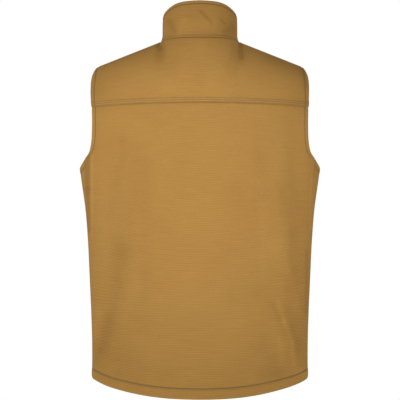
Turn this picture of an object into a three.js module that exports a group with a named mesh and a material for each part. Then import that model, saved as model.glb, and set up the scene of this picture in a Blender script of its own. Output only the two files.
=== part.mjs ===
// A sleeveless canvas work vest, zipped up and in its worn form, made of a back panel, a yoke, two fronts, a stand
// collar and a front zip. Sizes are in millimetres. X runs to the wearer's right, Y forwards and Z up, and the origin
// lies between the two neck points, where the shoulder seams meet the collar.
import * as THREE from 'three';

// Body sizes, measured on the outside of the cloth.
const bodyLength = 655; // neck points down to the hem at the sides
const backTail = 29; // how far the hem dips below that at the centre back
const chestWidth = 468; // across at the armpits
const bladeDepth = 114; // shoulder line back to the shoulder blades
const chestDepth = 126; // shoulder line forward to the chest
const squareness = 2.35; // exponent of the body's oval section: 2 is an ellipse

// Shoulders, neck and armholes.
const neckWidth = 156; // between the neck points
const neckBack = 70; // shoulder line back to the collar seam
const neckFront = 80; // shoulder line forward to the collar seam
const neckCrown = 40; // height of the shoulder surface if it ran on through the neck
const shoulderReach = 212; // centre line out to the end of a shoulder seam
const shoulderSlope = 0.395; // fall of the shoulder line for each millimetre across
const tipDroop = 34; // how much further the cloth falls past the shoulder's end
const droopWidth = 18; // and over how much width, which starts 10 before the seam's end
const droopStart = 10;
const backRounding = 130; // height over which the back rounds in to the shoulder line
const frontRounding = 300; // the same for the chest
const armholeDepth = 248; // neck points down to the armpit
const armholeTurn = 11; // width of the turned and stitched armhole edge

// Cloth and seams.
const clothThickness = 2.4;
const turnedExtra = 1.2; // a turned edge is thicker by this much
const seamGap = 0.4; // clearance between neighbouring pieces
const yokeDrop = 124; // neck points down to the yoke seam at the centre back
const yokeArch = 3; // how far the yoke seam drops towards the armholes
const yokeLap = 10; // overlap of the felled yoke seam
const lapRaise = 0.8; // how far the lap stands out of the cloth around it
const shoulderSeamForward = 12; // shoulder seam in front of the shoulder line
const sideSeamSetback = 48; // side seam behind the shoulder line, at the armhole
const lowSeamSetback = 26; // the same, at the waist and the hem
const frontDip = 8; // how far the hem dips at the front
const hemCurve = 2.3; // exponent of the back hem's curve
const hemTurn = 20; // height of the turned hem
const foldDepth = 4; // depth of the deepest fold

// Collar and zip.
const collarHeight = 73.5; // neck points up to the collar's top at the centre back
const collarThickness = 3.2;
const collarLean = 6; // how far the collar's top leans forwards
const zipOpening = 11; // between the two front edges
const zipTapeWidth = 32;
const zipTapeThickness = 1;
const zipTeethWidth = 6;
const zipGap = 1.2; // clearance between the tape and the cloth in front of it
const zipTeethDip = 1.2; // teeth behind the outside of the cloth
const zipEndMargin = 4; // zip short of the hem and of the collar's top

const clothColour = 0xb08848;
const collarColour = 0xa9803f;
const zipColour = 0x6b5636;

// The body's section at each level. level is a share of bodyLength, width of half the chest width, back of bladeDepth
// and front of chestDepth. Above the armpit the width is that of the body that the armhole is cut from.
const bodySections = [
  { level: 0.0, width: 1.0, back: 0.88, front: 0.94 },
  { level: 0.1, width: 1.02, back: 0.94, front: 0.95 },
  { level: 0.2, width: 1.02, back: 0.99, front: 0.97 },
  { level: 0.3, width: 1.01, back: 1.0, front: 0.99 },
  { level: 0.38, width: 1.0, back: 0.98, front: 1.0 },
  { level: 0.5, width: 0.955, back: 0.93, front: 0.99 },
  { level: 0.6, width: 0.934, back: 0.9, front: 0.97 },
  { level: 0.7, width: 0.921, back: 0.91, front: 0.95 },
  { level: 0.8, width: 0.908, back: 0.945, front: 0.935 },
  { level: 0.9, width: 0.9, back: 0.975, front: 0.925 },
  { level: 1.05, width: 0.9, back: 1.0, front: 0.92 },
];

// The armhole's edges. drop is a share of the way from the shoulder seam's end down to the armpit, and reach goes from 0
// as far out as the shoulder seam's end to 1 at the body's side.
const backArmhole = [
  { drop: 0.0, reach: 0.0 },
  { drop: 0.06, reach: 0.01 },
  { drop: 0.2, reach: -0.03 },
  { drop: 0.34, reach: -0.13 },
  { drop: 0.49, reach: -0.18 },
  { drop: 0.63, reach: -0.175 },
  { drop: 0.75, reach: -0.06 },
  { drop: 0.84, reach: 0.21 },
  { drop: 0.92, reach: 0.58 },
  { drop: 1.0, reach: 1.0 },
];
const frontArmhole = [
  { drop: 0.0, reach: 0.0 },
  { drop: 0.08, reach: -0.07 },
  { drop: 0.2, reach: -0.24 },
  { drop: 0.35, reach: -0.46 },
  { drop: 0.5, reach: -0.58 },
  { drop: 0.65, reach: -0.55 },
  { drop: 0.78, reach: -0.25 },
  { drop: 0.88, reach: 0.28 },
  { drop: 0.94, reach: 0.66 },
  { drop: 0.97, reach: 0.86 },
  { drop: 1.0, reach: 1.0 },
];

// The collar's ring at each rise from seam to top. wide is a share of the neck opening.
const collarRings = [
  { rise: 0.0, wide: 1.0 },
  { rise: 0.1, wide: 0.975 },
  { rise: 0.25, wide: 0.953 },
  { rise: 0.5, wide: 0.948 },
  { rise: 0.8, wide: 0.944 },
  { rise: 1.0, wide: 0.928 },
];
// The height of the collar's top edge, as a share of collarHeight. turn is a share of the way from back to front.
const collarTop = [
  { turn: 0.0, height: 1.0 },
  { turn: 0.17, height: 0.983 },
  { turn: 0.25, height: 0.933 },
  { turn: 0.33, height: 0.843 },
  { turn: 0.42, height: 0.74 },
  { turn: 0.5, height: 0.64 },
  { turn: 0.67, height: 0.435 },
  { turn: 0.83, height: 0.24 },
  { turn: 1.0, height: 0.135 },
];

// Folds and dents, each along a line on the back or the front as seen from behind. The across columns and spread are
// shares of half the chest width, the down columns shares of bodyLength, and depth a share of foldDepth.
const backFolds = [
  { across: -0.33, down: 0.0, toAcross: -0.34, toDown: 0.055, spread: 0.045, depth: -0.7 },
  { across: 0.34, down: 0.0, toAcross: 0.35, toDown: 0.06, spread: 0.04, depth: -0.8 },
  { across: 0.26, down: 0.03, toAcross: 0.22, toDown: 0.12, spread: 0.07, depth: -0.4 },
  { across: 0.84, down: 0.1, toAcross: 0.86, toDown: 0.16, spread: 0.09, depth: -0.5 },
  { across: 0.78, down: 0.11, toAcross: 0.45, toDown: 0.17, spread: 0.1, depth: 0.4 },
  { across: -0.84, down: 0.2, toAcross: -0.85, toDown: 0.31, spread: 0.07, depth: -0.4 },
  { across: -0.88, down: 0.33, toAcross: -0.93, toDown: 0.58, spread: 0.07, depth: 0.6 },
  { across: 0.9, down: 0.33, toAcross: 0.93, toDown: 0.55, spread: 0.06, depth: 0.4 },
  { across: -0.74, down: 0.38, toAcross: -0.76, toDown: 0.6, spread: 0.09, depth: -0.6 },
  { across: -0.58, down: 0.3, toAcross: -0.62, toDown: 0.56, spread: 0.1, depth: 0.5 },
  { across: -0.44, down: 0.42, toAcross: -0.62, toDown: 0.68, spread: 0.1, depth: -0.5 },
  { across: -0.66, down: 0.72, toAcross: -0.83, toDown: 0.95, spread: 0.08, depth: -1.0 },
  { across: -0.6, down: 0.84, toAcross: -0.74, toDown: 1.0, spread: 0.08, depth: 0.6 },
  { across: 0.86, down: 0.42, toAcross: 0.88, toDown: 0.72, spread: 0.08, depth: -0.5 },
  { across: 0.56, down: 0.35, toAcross: 0.6, toDown: 0.75, spread: 0.11, depth: -0.4 },
  { across: 0.66, down: 0.78, toAcross: 0.82, toDown: 0.98, spread: 0.07, depth: 0.7 },
  { across: 0.52, down: 0.86, toAcross: 0.6, toDown: 1.0, spread: 0.1, depth: -0.7 },
];
const frontFolds = [
  { across: -0.4, down: 0.12, toAcross: -0.62, toDown: 0.3, spread: 0.1, depth: -0.5 },
  { across: 0.4, down: 0.12, toAcross: 0.6, toDown: 0.31, spread: 0.1, depth: -0.5 },
  { across: -0.6, down: 0.55, toAcross: -0.5, toDown: 0.9, spread: 0.1, depth: -0.8 },
  { across: 0.62, down: 0.5, toAcross: 0.48, toDown: 0.88, spread: 0.1, depth: -0.8 },
  { across: -0.3, down: 0.7, toAcross: -0.34, toDown: 1.0, spread: 0.1, depth: 0.6 },
  { across: 0.32, down: 0.66, toAcross: 0.3, toDown: 1.0, spread: 0.1, depth: 0.6 },
  { across: -0.82, down: 0.42, toAcross: -0.78, toDown: 0.75, spread: 0.08, depth: 0.5 },
  { across: 0.83, down: 0.45, toAcross: 0.8, toDown: 0.78, spread: 0.08, depth: 0.5 },
];

const halfChest = chestWidth / 2;
const quarterTurn = Math.PI / 2;
const mix = (from, to, share) => from + (to - from) * share;
const clamp = (value, low, high) => Math.min(high, Math.max(low, value));

// A smooth curve through one column of a table, read at a value of its first column.
function readTable(table, column, at) {
  const key = Object.keys(table[0])[0];
  const last = table.length - 1;
  const where = clamp(at, table[0][key], table[last][key]);
  const next = Math.max(1, table.findIndex((row) => row[key] >= where));
  const slope = (from, to) => (table[to][column] - table[from][column]) / (table[to][key] - table[from][key]);
  const before = slope(Math.max(next - 2, 0), Math.min(next, last));
  const after = slope(next - 1, Math.min(next + 1, last));
  const step = table[next][key] - table[next - 1][key];
  const share = (where - table[next - 1][key]) / step;
  const bend = (share - 1) * (share - 1) * share * before + share * share * (share - 1) * after;
  const ease = share * share * (3 - 2 * share);
  return mix(table[next - 1][column], table[next][column], ease) + bend * step;
}

const halfWidthAt = (z) => halfChest * readTable(bodySections, 'width', -z / bodyLength);
const backDepthAt = (z) => bladeDepth * readTable(bodySections, 'back', -z / bodyLength);
const frontDepthAt = (z) => chestDepth * readTable(bodySections, 'front', -z / bodyLength);

// The shoulder line's height: straight from the neck point outwards, and a low crown between the neck points.
function shoulderHeight(x) {
  const halfNeck = neckWidth / 2;
  const blend = 0.1 * neckWidth;
  const past = clamp((Math.abs(x) - shoulderReach + droopStart) / droopWidth, 0, 1);
  const droop = tipDroop * past * past * (3 - 2 * past);
  const outside = shoulderSlope * (halfNeck - Math.abs(x)) - droop;
  const inside = neckCrown * (1 - (x / halfNeck) ** 2);
  const share = clamp((Math.abs(x) - halfNeck + blend) / blend, 0, 1);
  return mix(inside, outside, share * share * (3 - 2 * share));
}

const tipHeight = shoulderHeight(shoulderReach);

// Each side of the body: which way it faces, how deep it is, and how it rounds in to the shoulder line.
const back = { facing: -1, depthAt: backDepthAt, rounding: backRounding, fullness: 2, folds: backFolds };
const front = { facing: 1, depthAt: frontDepthAt, rounding: frontRounding, fullness: 1.5, folds: frontFolds };

// A point of a side is named by its sweep, the angle round the body from the centre line, and its fall, an angle that is
// zero on the shoulder line and a quarter turn where the body is at its full depth.
const fallPerRounding = quarterTurn;
function dropOf(side, fall) {
  if (fall >= quarterTurn) return side.rounding * (1 + (fall - quarterTurn) / fallPerRounding);
  return side.rounding * (1 - Math.cos(fall));
}
function fallOf(side, drop) {
  const share = drop / side.rounding;
  if (share >= 1) return quarterTurn + (share - 1) * fallPerRounding;
  return Math.acos(clamp(1 - share, 0, 1));
}
const ovalShare = (across) => Math.max(0, 1 - Math.min(1, Math.abs(across)) ** squareness) ** (1 / squareness);
const fullDepthShare = (side, fall) => Math.sin(Math.min(Math.max(fall, 0), quarterTurn)) ** (2 / side.fullness);

// How far the folds push the cloth out at a place on a side.
function foldAt(side, x, z) {
  let push = 0;
  for (const fold of side.folds) {
    const alongX = (fold.toAcross - fold.across) * halfChest;
    const alongZ = (fold.down - fold.toDown) * bodyLength;
    const fromX = x - fold.across * halfChest;
    const fromZ = z + fold.down * bodyLength;
    const share = (fromX * alongX + fromZ * alongZ) / (alongX ** 2 + alongZ ** 2);
    const nearest = clamp(share, 0, 1);
    const away = Math.hypot(fromX - nearest * alongX, fromZ - nearest * alongZ) / (fold.spread * halfChest);
    push += fold.depth * foldDepth * Math.exp(-away * away);
  }
  return push;
}

// The place on a side at a sweep and a height, inset from the outside of the cloth.
function placeAt(side, sweep, z, fall, inset) {
  const across = Math.sin(sweep);
  const level = Math.min(fall, quarterTurn);
  const y = side.facing * (side.depthAt(z) - inset) * ovalShare(across) * fullDepthShare(side, level);
  const x = (halfWidthAt(z) - inset) * across;
  const push = foldAt(side, x, z) * Math.cos(sweep) * Math.sin(level);
  return [x + push * across, y + side.facing * push, z - inset * Math.cos(level)];
}
function heightOf(side, sweep, fall) {
  let z = -dropOf(side, fall);
  for (let round = 0; round < 12; round++) {
    z = shoulderHeight(halfWidthAt(z) * Math.sin(sweep)) - dropOf(side, fall);
  }
  return z;
}

// A spot is a sweep and a fall, and a fall below zero is on the other side of the shoulder line.
function placeSpot(side, spot, inset) {
  const other = side === back ? front : back;
  const on = spot.fall >= 0 ? side : other;
  const fall = Math.abs(spot.fall);
  return placeAt(on, spot.sweep, heightOf(on, spot.sweep, fall), fall, inset);
}
function placeByHeight(side, sweep, z, inset) {
  const drop = shoulderHeight(halfWidthAt(z) * Math.sin(sweep)) - z;
  return placeAt(side, sweep, z, fallOf(side, Math.max(0, drop)), inset);
}
// The same with a turn round the whole body, from the centre front to beyond the side.
function placeRound(turn, z, inset) {
  if (Math.abs(turn) <= quarterTurn) return placeByHeight(front, turn, z, inset);
  return placeByHeight(back, Math.sign(turn) * (Math.PI - Math.abs(turn)), z, inset);
}
const sweepOf = (x, z) => Math.asin(clamp(x / halfWidthAt(z), -1, 1));
function spotByHeight(side, sweep, z) {
  const drop = shoulderHeight(halfWidthAt(z) * Math.sin(sweep)) - z;
  return { sweep, fall: fallOf(side, Math.max(0, drop)) };
}
// The spot on a side that lies at a given x and y.
function spotAbove(side, x, y) {
  let z = shoulderHeight(x);
  let fall = 0;
  for (let round = 0; round < 12; round++) {
    const share = clamp(Math.abs(y) / (side.depthAt(z) * ovalShare(x / halfWidthAt(z))), 0, 1);
    fall = Math.asin(share ** (side.fullness / 2));
    z = shoulderHeight(x) - dropOf(side, fall);
  }
  return { sweep: sweepOf(x, z), fall };
}

// The neckline's spot at a turn round the neck, from a quarter turn at the centre back to the same below zero at the
// centre front, as the back side sees it.
function necklineSpot(turn) {
  const side = turn >= 0 ? back : front;
  const reach = side === back ? neckBack : neckFront;
  const spot = spotAbove(side, (neckWidth / 2) * Math.cos(turn), reach * Math.abs(Math.sin(turn)));
  return { sweep: spot.sweep, fall: side === back ? spot.fall : -spot.fall };
}
const forwardTurn = Math.asin(shoulderSeamForward / neckFront);
const zipTurn = Math.acos(zipOpening / neckWidth);

// The armhole edge's sweep at a height, and its spot at a fall.
function armholeSweep(side, z) {
  const drop = clamp((tipHeight - z) / (armholeDepth + tipHeight), 0, 1);
  const reach = readTable(side === back ? backArmhole : frontArmhole, 'reach', drop);
  return sweepOf(mix(shoulderReach, halfWidthAt(z), reach), z);
}
function armholeSpot(side, fall) {
  let z = tipHeight;
  for (let round = 0; round < 12; round++) {
    z = 0.5 * z + 0.5 * heightOf(side, armholeSweep(side, z), fall);
  }
  return { sweep: armholeSweep(side, z), fall };
}

// The side seam's sweep at a height, and the height where it meets the armhole, found by halving.
function seamSweep(z) {
  const down = clamp((-z - armholeDepth) / (0.25 * bodyLength), 0, 1);
  const setback = mix(sideSeamSetback, lowSeamSetback, down * down * (3 - 2 * down));
  const share = setback / backDepthAt(z);
  return Math.asin((1 - share ** squareness) ** (1 / squareness));
}
function armholeHeight(sweep) {
  let low = -armholeDepth;
  let high = -0.75 * armholeDepth;
  for (let round = 0; round < 30; round++) {
    const middle = (low + high) / 2;
    if (armholeSweep(back, middle) > sweep) low = middle;
    else high = middle;
  }
  return (low + high) / 2;
}
let seamTopHeight = -armholeDepth;
for (let round = 0; round < 20; round++) seamTopHeight = armholeHeight(seamSweep(seamTopHeight));

// Hem and yoke seam heights, at a share of the body's half width.
const backHem = (share) => -bodyLength - backTail * (1 - Math.abs(share) ** hemCurve);
const frontHem = (share) => -bodyLength - frontDip * (1 - share * share);
const yokeSeam = (share) => -yokeDrop - yokeArch * share * share;

// A wall between two matching grids of points, its outer and its inner face, closed round every free edge.
// pointAt gives the point at a row and a column, and hasCell leaves cells out where the outline steps in.
function wall(name, colour, rows, columns, pointAt, hasCell = () => true) {
  const stride = columns + 1;
  const innerStart = (rows + 1) * stride;
  const positions = [];
  for (const face of ['outer', 'inner']) {
    for (let row = 0; row <= rows; row++) {
      for (let column = 0; column <= columns; column++) positions.push(...pointAt(row, column, face));
    }
  }
  const inside = (row, column) => row >= 0 && row < rows && column >= 0 && column < columns && hasCell(row, column);
  const indices = [];
  const quad = (a, b, c, d) => indices.push(a, b, c, a, c, d);
  const rim = (a, b) => quad(b, a, a + innerStart, b + innerStart);
  for (let row = 0; row < rows; row++) {
    for (let column = 0; column < columns; column++) {
      if (!inside(row, column)) continue;
      const topLeft = row * stride + column;
      const [topRight, lowLeft, lowRight] = [topLeft + 1, topLeft + stride, topLeft + stride + 1];
      quad(topLeft, lowLeft, lowRight, topRight);
      quad(...[topLeft, topRight, lowRight, lowLeft].map((corner) => corner + innerStart));
      if (!inside(row - 1, column)) rim(topRight, topLeft);
      if (!inside(row + 1, column)) rim(lowLeft, lowRight);
      if (!inside(row, column - 1)) rim(topLeft, lowLeft);
      if (!inside(row, column + 1)) rim(lowRight, topRight);
    }
  }
  const geometry = new THREE.BufferGeometry();
  geometry.setAttribute('position', new THREE.Float32BufferAttribute(positions, 3));
  geometry.setIndex(indices);
  geometry.computeVertexNormals();
  const material = new THREE.MeshStandardMaterial({ color: colour, roughness: 0.9, metalness: 0 });
  const mesh = new THREE.Mesh(geometry, material);
  mesh.name = name;
  return mesh;
}

// Shares from 0 to 1 with extra lines close to either end, at the given distances out of a length.
function gridShares(count, length, startMargins, endMargins) {
  const starts = startMargins.map((margin) => margin / length);
  const ends = endMargins.map((margin) => 1 - margin / length).reverse();
  const [first, last] = [starts[starts.length - 1] ?? 0, ends[0] ?? 1];
  const middle = Array.from({ length: count - 1 }, (_, step) => mix(first, last, (step + 1) / count));
  return [0, ...starts, ...middle, ...ends, 1];
}

const stepWidth = 1.5; // width of the slope where a wall changes thickness
const seamAngle = (1.3 * seamGap) / bladeDepth; // clearance at a seam, as an angle round the body
const halfColumns = gridShares(11, halfChest, [], [armholeTurn / 3, armholeTurn * 2 / 3, armholeTurn, armholeTurn + stepWidth]);
const neckColumn = 7;
const neckShare = halfColumns[neckColumn];
const backColumns = [...halfColumns.slice(1).map((share) => -share).reverse(), ...halfColumns];

// The inner face is deeper inside a turned edge, from nothing at a step's width past the turn.
function turnedInset(distance, turn) {
  return clothThickness + turnedExtra * clamp((turn + stepWidth - distance) / stepWidth, 0, 1);
}

// The lower back, from under the yoke's lap down to the hem. Its top edge is thinned to lie under the lap.
function backPanel() {
  const tuck = yokeLap - seamGap;
  const length = bodyLength - yokeDrop + tuck;
  const lapMargins = [yokeLap, yokeLap + stepWidth];
  const rows = gridShares(18, length, lapMargins, [hemTurn / 2, hemTurn, hemTurn + stepWidth]);
  return wall('back_panel', clothColour, rows.length - 1, backColumns.length - 1, (row, column, face) => {
    const across = backColumns[column];
    const down = rows[row];
    const side = yokeSeam(1) + tuck - down * (bodyLength + yokeSeam(1) + tuck);
    const onArmhole = side > seamTopHeight;
    const edge = onArmhole ? armholeSweep(back, side) : seamSweep(side);
    const width = Math.sin(across * edge);
    const z = side + (yokeSeam(width) - yokeSeam(1)) * (1 - down) + (backHem(width) - backHem(1)) * down;
    const hemInset = turnedInset((1 - down) * length, hemTurn);
    const edgeInset = onArmhole ? turnedInset((1 - Math.abs(across)) * halfChest, armholeTurn) : clothThickness;
    const outer = row < 2 ? clothThickness / 2 : 0;
    return placeByHeight(back, across * edge, z, face === 'outer' ? outer : Math.max(hemInset, edgeInset));
  });
}

// The yoke, from its lap over the lower back up to the collar, and over the shoulder line to the shoulder seams.
function backYoke() {
  const lapRows = [yokeLap, yokeLap - stepWidth, 0];
  const rows = 9;
  const seamSpot = (share, lift) => {
    const sweep = share * armholeSweep(back, yokeSeam(1) + lift);
    return spotByHeight(back, sweep, yokeSeam(Math.sin(sweep)) + lift);
  };
  const shoulderSpot = (x) => {
    const spot = spotAbove(front, x, shoulderSeamForward);
    return { sweep: spot.sweep, fall: -spot.fall };
  };
  const topSpot = (share) => {
    if (share <= neckShare) return necklineSpot(mix(quarterTurn, -forwardTurn, share / neckShare));
    return shoulderSpot(mix(neckWidth / 2, shoulderReach, (share - neckShare) / (1 - neckShare)));
  };
  const [lowCorner, topCorner] = [seamSpot(1, yokeLap), topSpot(1)];
  const patchSpot = (share, up) => {
    const [low, top] = [seamSpot(share, yokeLap), topSpot(share)];
    const edgeFall = mix(lowCorner.fall, topCorner.fall, up);
    const edge = edgeFall >= 0 ? armholeSpot(back, edgeFall) : armholeSpot(front, -edgeFall);
    const straight = mix(lowCorner.sweep, topCorner.sweep, up);
    const pull = share ** 3 * (edge.sweep - straight);
    return { sweep: mix(low.sweep, top.sweep, up) + pull, fall: mix(low.fall, top.fall, up) };
  };
  return wall('back_yoke', clothColour, rows + 2, backColumns.length - 1, (row, column, face) => {
    const across = backColumns[column];
    const share = Math.abs(across);
    const onLap = row > rows;
    const spot = row >= rows ? seamSpot(share, lapRows[row - rows]) : patchSpot(share, 1 - row / rows);
    const edgeInset = turnedInset((1 - share) * halfChest, armholeTurn);
    const lapInset = clothThickness / 2 - seamGap;
    const inset = face === 'outer' ? (onLap ? -lapRaise : 0) : onLap ? lapInset : row === rows ? lapInset : edgeInset;
    return placeSpot(back, { sweep: Math.sign(across) * spot.sweep, fall: spot.fall }, inset);
  });
}

// A front, from the shoulder seam and the collar down to the hem, and round the side to the side seam.
function frontPanel(name, hand) {
  const upperRows = 12;
  const edgeColumn = halfColumns.length - 1;
  const wrapShares = [0.35, 0.7, 1];
  const length = bodyLength - armholeDepth;
  const lowerRows = gridShares(14, length, [armholeTurn, armholeTurn + stepWidth], [hemTurn / 2, hemTurn, hemTurn + stepWidth]);
  const zipSweep = (z) => sweepOf(zipOpening / 2, z);
  const chestTurn = (share) => mix(zipSweep(-armholeDepth), quarterTurn, share);
  const chestSpot = (share) => spotByHeight(front, chestTurn(share), -armholeDepth);
  const topSpot = (share) => {
    if (share <= neckShare) {
      const spot = necklineSpot(-mix(zipTurn, forwardTurn + seamAngle, share / neckShare));
      return { sweep: spot.sweep, fall: -spot.fall };
    }
    const x = mix(neckWidth / 2, shoulderReach, (share - neckShare) / (1 - neckShare));
    return spotAbove(front, x, shoulderSeamForward + 1.3 * seamGap);
  };
  const [lowCorner, topCorner] = [chestSpot(1), topSpot(1)];
  const topCornerHeight = heightOf(front, topCorner.sweep, topCorner.fall);
  const edgeSpot = (height) => spotByHeight(front, armholeSweep(front, height), height);
  const edgeTop = edgeSpot(topCornerHeight);
  const upperSpot = (share, up) => {
    const [low, top] = [chestSpot(share), topSpot(share)];
    const edge = edgeSpot(mix(-armholeDepth, topCornerHeight, up));
    const blend = (key) => {
      const straight = mix(lowCorner[key], topCorner[key], up) + (edgeTop[key] - topCorner[key]) * up;
      return mix(low[key], top[key], up) + share ** 3 * (edge[key] - straight);
    };
    return { sweep: blend('sweep'), fall: blend('fall') };
  };
  const columns = edgeColumn + wrapShares.length;
  const rows = upperRows + lowerRows.length - 1;
  const lowerPlace = (row, column, face) => {
    const down = lowerRows[row - upperRows];
    const share = halfColumns[Math.min(column, edgeColumn)];
    const wrap = column > edgeColumn ? wrapShares[column - edgeColumn - 1] : 0;
    const top = wrap ? armholeHeight(mix(quarterTurn, seamSweep(seamTopHeight), wrap)) : -armholeDepth;
    const levelTurn = wrap ? quarterTurn : chestTurn(share);
    const z = mix(top, frontHem(Math.sin(levelTurn)), down);
    const last = Math.PI - seamSweep(z) - seamAngle;
    const turn = wrap ? mix(quarterTurn, last, wrap) : mix(zipSweep(z), quarterTurn, share);
    const fromEdge = Math.hypot((1 - share) * halfChest, down * length);
    const hemInset = turnedInset((1 - down) * length, hemTurn);
    const inset = face === 'outer' ? 0 : Math.max(hemInset, turnedInset(fromEdge, armholeTurn));
    return placeRound(turn, z, inset);
  };
  const hasCell = (row, column) => row >= upperRows || column < edgeColumn;
  const place = (row, column, face) => {
    const share = halfColumns[Math.min(column, edgeColumn)];
    if (row >= upperRows) return lowerPlace(row, column, face);
    const inset = face === 'outer' ? 0 : turnedInset((1 - share) * halfChest, armholeTurn);
    return placeSpot(front, upperSpot(share, (1 - row / upperRows) ** 1.5), inset);
  };
  return wall(name, clothColour, rows, columns, (row, column, face) => {
    const [x, y, z] = place(row, hand > 0 ? columns - column : column, face);
    return [hand * x, y, z];
  }, (row, column) => hasCell(row, hand > 0 ? columns - 1 - column : column));
}

// The collar's place at a turn round the neck, with rise going from 0 at the seam to 1 at the top.
function collarPlace(turn, hand, rise, inset) {
  const wide = readTable(collarRings, 'wide', rise);
  const reach = turn >= 0 ? neckBack : neckFront;
  const x = hand * ((neckWidth / 2) * wide - inset) * Math.cos(turn);
  const y = collarLean * rise - (reach * wide - inset) * Math.sin(turn);
  const spot = necklineSpot(turn);
  const seam = placeSpot(back, { sweep: hand * spot.sweep, fall: spot.fall }, 0)[2] + 1.5 * seamGap;
  const top = collarHeight * readTable(collarTop, 'height', (quarterTurn - turn) / Math.PI);
  return [x, y, mix(seam, top, rise)];
}

// The stand collar. Its columns stand on those of the yoke and the fronts, so that the seam keeps its clearance.
function standCollar() {
  const neckSteps = halfColumns.slice(0, neckColumn + 1).map((share) => share / neckShare);
  const yokeTurns = neckSteps.map((step) => mix(quarterTurn, -forwardTurn, step));
  const frontTurns = neckSteps.map((step) => -mix(zipTurn, forwardTurn, step)).reverse();
  const turns = [...yokeTurns, ...frontTurns.slice(1)];
  const spots = [
    ...turns.slice(1).reverse().map((turn) => ({ turn, hand: -1 })),
    ...turns.map((turn) => ({ turn, hand: 1 })),
  ];
  const rises = collarRings.map((ring) => ring.rise).reverse();
  return wall('stand_collar', collarColour, rises.length - 1, spots.length - 1, (row, column, face) => {
    const { turn, hand } = spots[column];
    return collarPlace(turn, hand, rises[row], face === 'outer' ? 0 : collarThickness);
  });
}

// The front zip, tape and closed teeth in one, behind the front edges from the hem to the top of the collar.
function frontZip() {
  const half = [zipTapeWidth / 2, zipTeethWidth / 2 + 0.4, zipTeethWidth / 2];
  const across = [...half, ...half.map((x) => -x).reverse()];
  const isTeeth = (column) => column === 2 || column === 3;
  const collarRows = [0.95, 0.75, 0.5, 0.25, 0.08];
  const seamHeight = placeSpot(back, necklineSpot(-quarterTurn), 0)[2];
  const hemLevel = -bodyLength - frontDip + zipEndMargin;
  const length = seamHeight - hemLevel;
  const bodyRows = gridShares(18, length, [2], [hemTurn - zipEndMargin, hemTurn - zipEndMargin + stepWidth]).slice(1);
  const rows = collarRows.length + bodyRows.length;
  return wall('front_zip', zipColour, rows - 1, across.length - 1, (row, column, face) => {
    const x = across[column];
    const onCollar = row < collarRows.length;
    const down = onCollar ? 0 : bodyRows[row - collarRows.length];
    const cloth = onCollar ? collarThickness : turnedInset((1 - down) * length + zipEndMargin, hemTurn);
    const outer = isTeeth(column) ? zipTeethDip : cloth + zipGap;
    const inset = face === 'outer' ? outer : cloth + zipGap + zipTapeThickness;
    if (onCollar) return collarPlace(-Math.acos(Math.abs(x) / (neckWidth / 2)), Math.sign(x), collarRows[row], inset);
    const z = mix(seamHeight, hemLevel, down);
    return placeByHeight(front, sweepOf(x, z), z, inset);
  });
}

const group = new THREE.Group();
group.add(backPanel(), backYoke(), frontPanel('front_right', 1), frontPanel('front_left', -1));
group.add(standCollar(), frontZip());
export default group;
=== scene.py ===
import math
import bpy
import numpy as np
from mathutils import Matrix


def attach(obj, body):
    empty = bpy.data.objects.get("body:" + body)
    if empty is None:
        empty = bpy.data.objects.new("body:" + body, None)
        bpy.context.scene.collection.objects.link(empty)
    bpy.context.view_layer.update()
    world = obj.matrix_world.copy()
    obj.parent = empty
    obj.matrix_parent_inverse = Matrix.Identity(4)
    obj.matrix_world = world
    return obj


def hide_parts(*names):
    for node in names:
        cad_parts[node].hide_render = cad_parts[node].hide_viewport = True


# A canvas work vest, worn and zipped up, seen from behind. Metres, X to the wearer's right, Y forwards, Z up.
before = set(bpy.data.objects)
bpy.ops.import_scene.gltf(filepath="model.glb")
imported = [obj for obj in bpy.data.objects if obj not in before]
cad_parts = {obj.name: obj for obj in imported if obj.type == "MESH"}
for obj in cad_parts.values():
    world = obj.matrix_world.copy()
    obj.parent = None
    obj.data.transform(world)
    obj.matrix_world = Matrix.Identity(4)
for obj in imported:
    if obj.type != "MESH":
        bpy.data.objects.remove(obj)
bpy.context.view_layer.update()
bpy.ops.object.select_all(action="DESELECT")

# the worn shape, the same as the CAD's
body = dict(
    length=0.655, tail=0.029, chestWidth=0.4665, bladeDepth=0.114, chestDepth=0.126, squareness=2.35,
    sections=[  # share of the length down, width, depth behind, depth in front
        (0.0, 1.0, 0.88, 0.94), (0.1, 1.02, 0.94, 0.95), (0.2, 1.02, 0.99, 0.97), (0.3, 1.01, 1.0, 0.99),
        (0.38, 1.0, 0.98, 1.0), (0.5, 0.955, 0.93, 0.99), (0.6, 0.934, 0.9, 0.97), (0.7, 0.921, 0.91, 0.95),
        (0.8, 0.908, 0.945, 0.935), (0.9, 0.9, 0.975, 0.925), (1.05, 0.9, 1.0, 0.92)],
    frontDip=0.008, hemCurve=2.3, hemTurn=0.0195, cornerLift=0.0019, cornerCurve=1.5,
)
shoulder = dict(
    neckWidth=0.156, neckBack=0.07, neckFront=0.08, crown=0.04, reach=0.212, slope=0.395,
    droop=0.0245, droopWidth=0.0195, droopStart=0.0179, droopCurve=2.5, settle=0.0009, neckBlend=0.0156,
    backRounding=0.13, frontRounding=0.3, backFullness=2.0, frontFullness=1.5,
    seamForward=0.012, yokeDrop=0.124, yokeArch=0.0075, yokeLap=0.0105, lapRaise=0.0008,
)
armhole = dict(
    depth=0.2452, turn=0.0132, sideSetback=0.048, lowSetback=0.026, setbackFade=0.25,
    backEdge=[(0.0, 0.0), (0.06, 0.01), (0.2, -0.03), (0.34, -0.13), (0.49, -0.18), (0.63, -0.175),
              (0.75, -0.12), (0.84, 0.03), (0.92, 0.5), (1.0, 1.0)],
    frontEdge=[(0.0, 0.0), (0.08, -0.07), (0.2, -0.24), (0.35, -0.46), (0.5, -0.58), (0.65, -0.55),
               (0.78, -0.25), (0.88, 0.28), (0.94, 0.66), (0.97, 0.86), (1.0, 1.0)],
)
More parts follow.
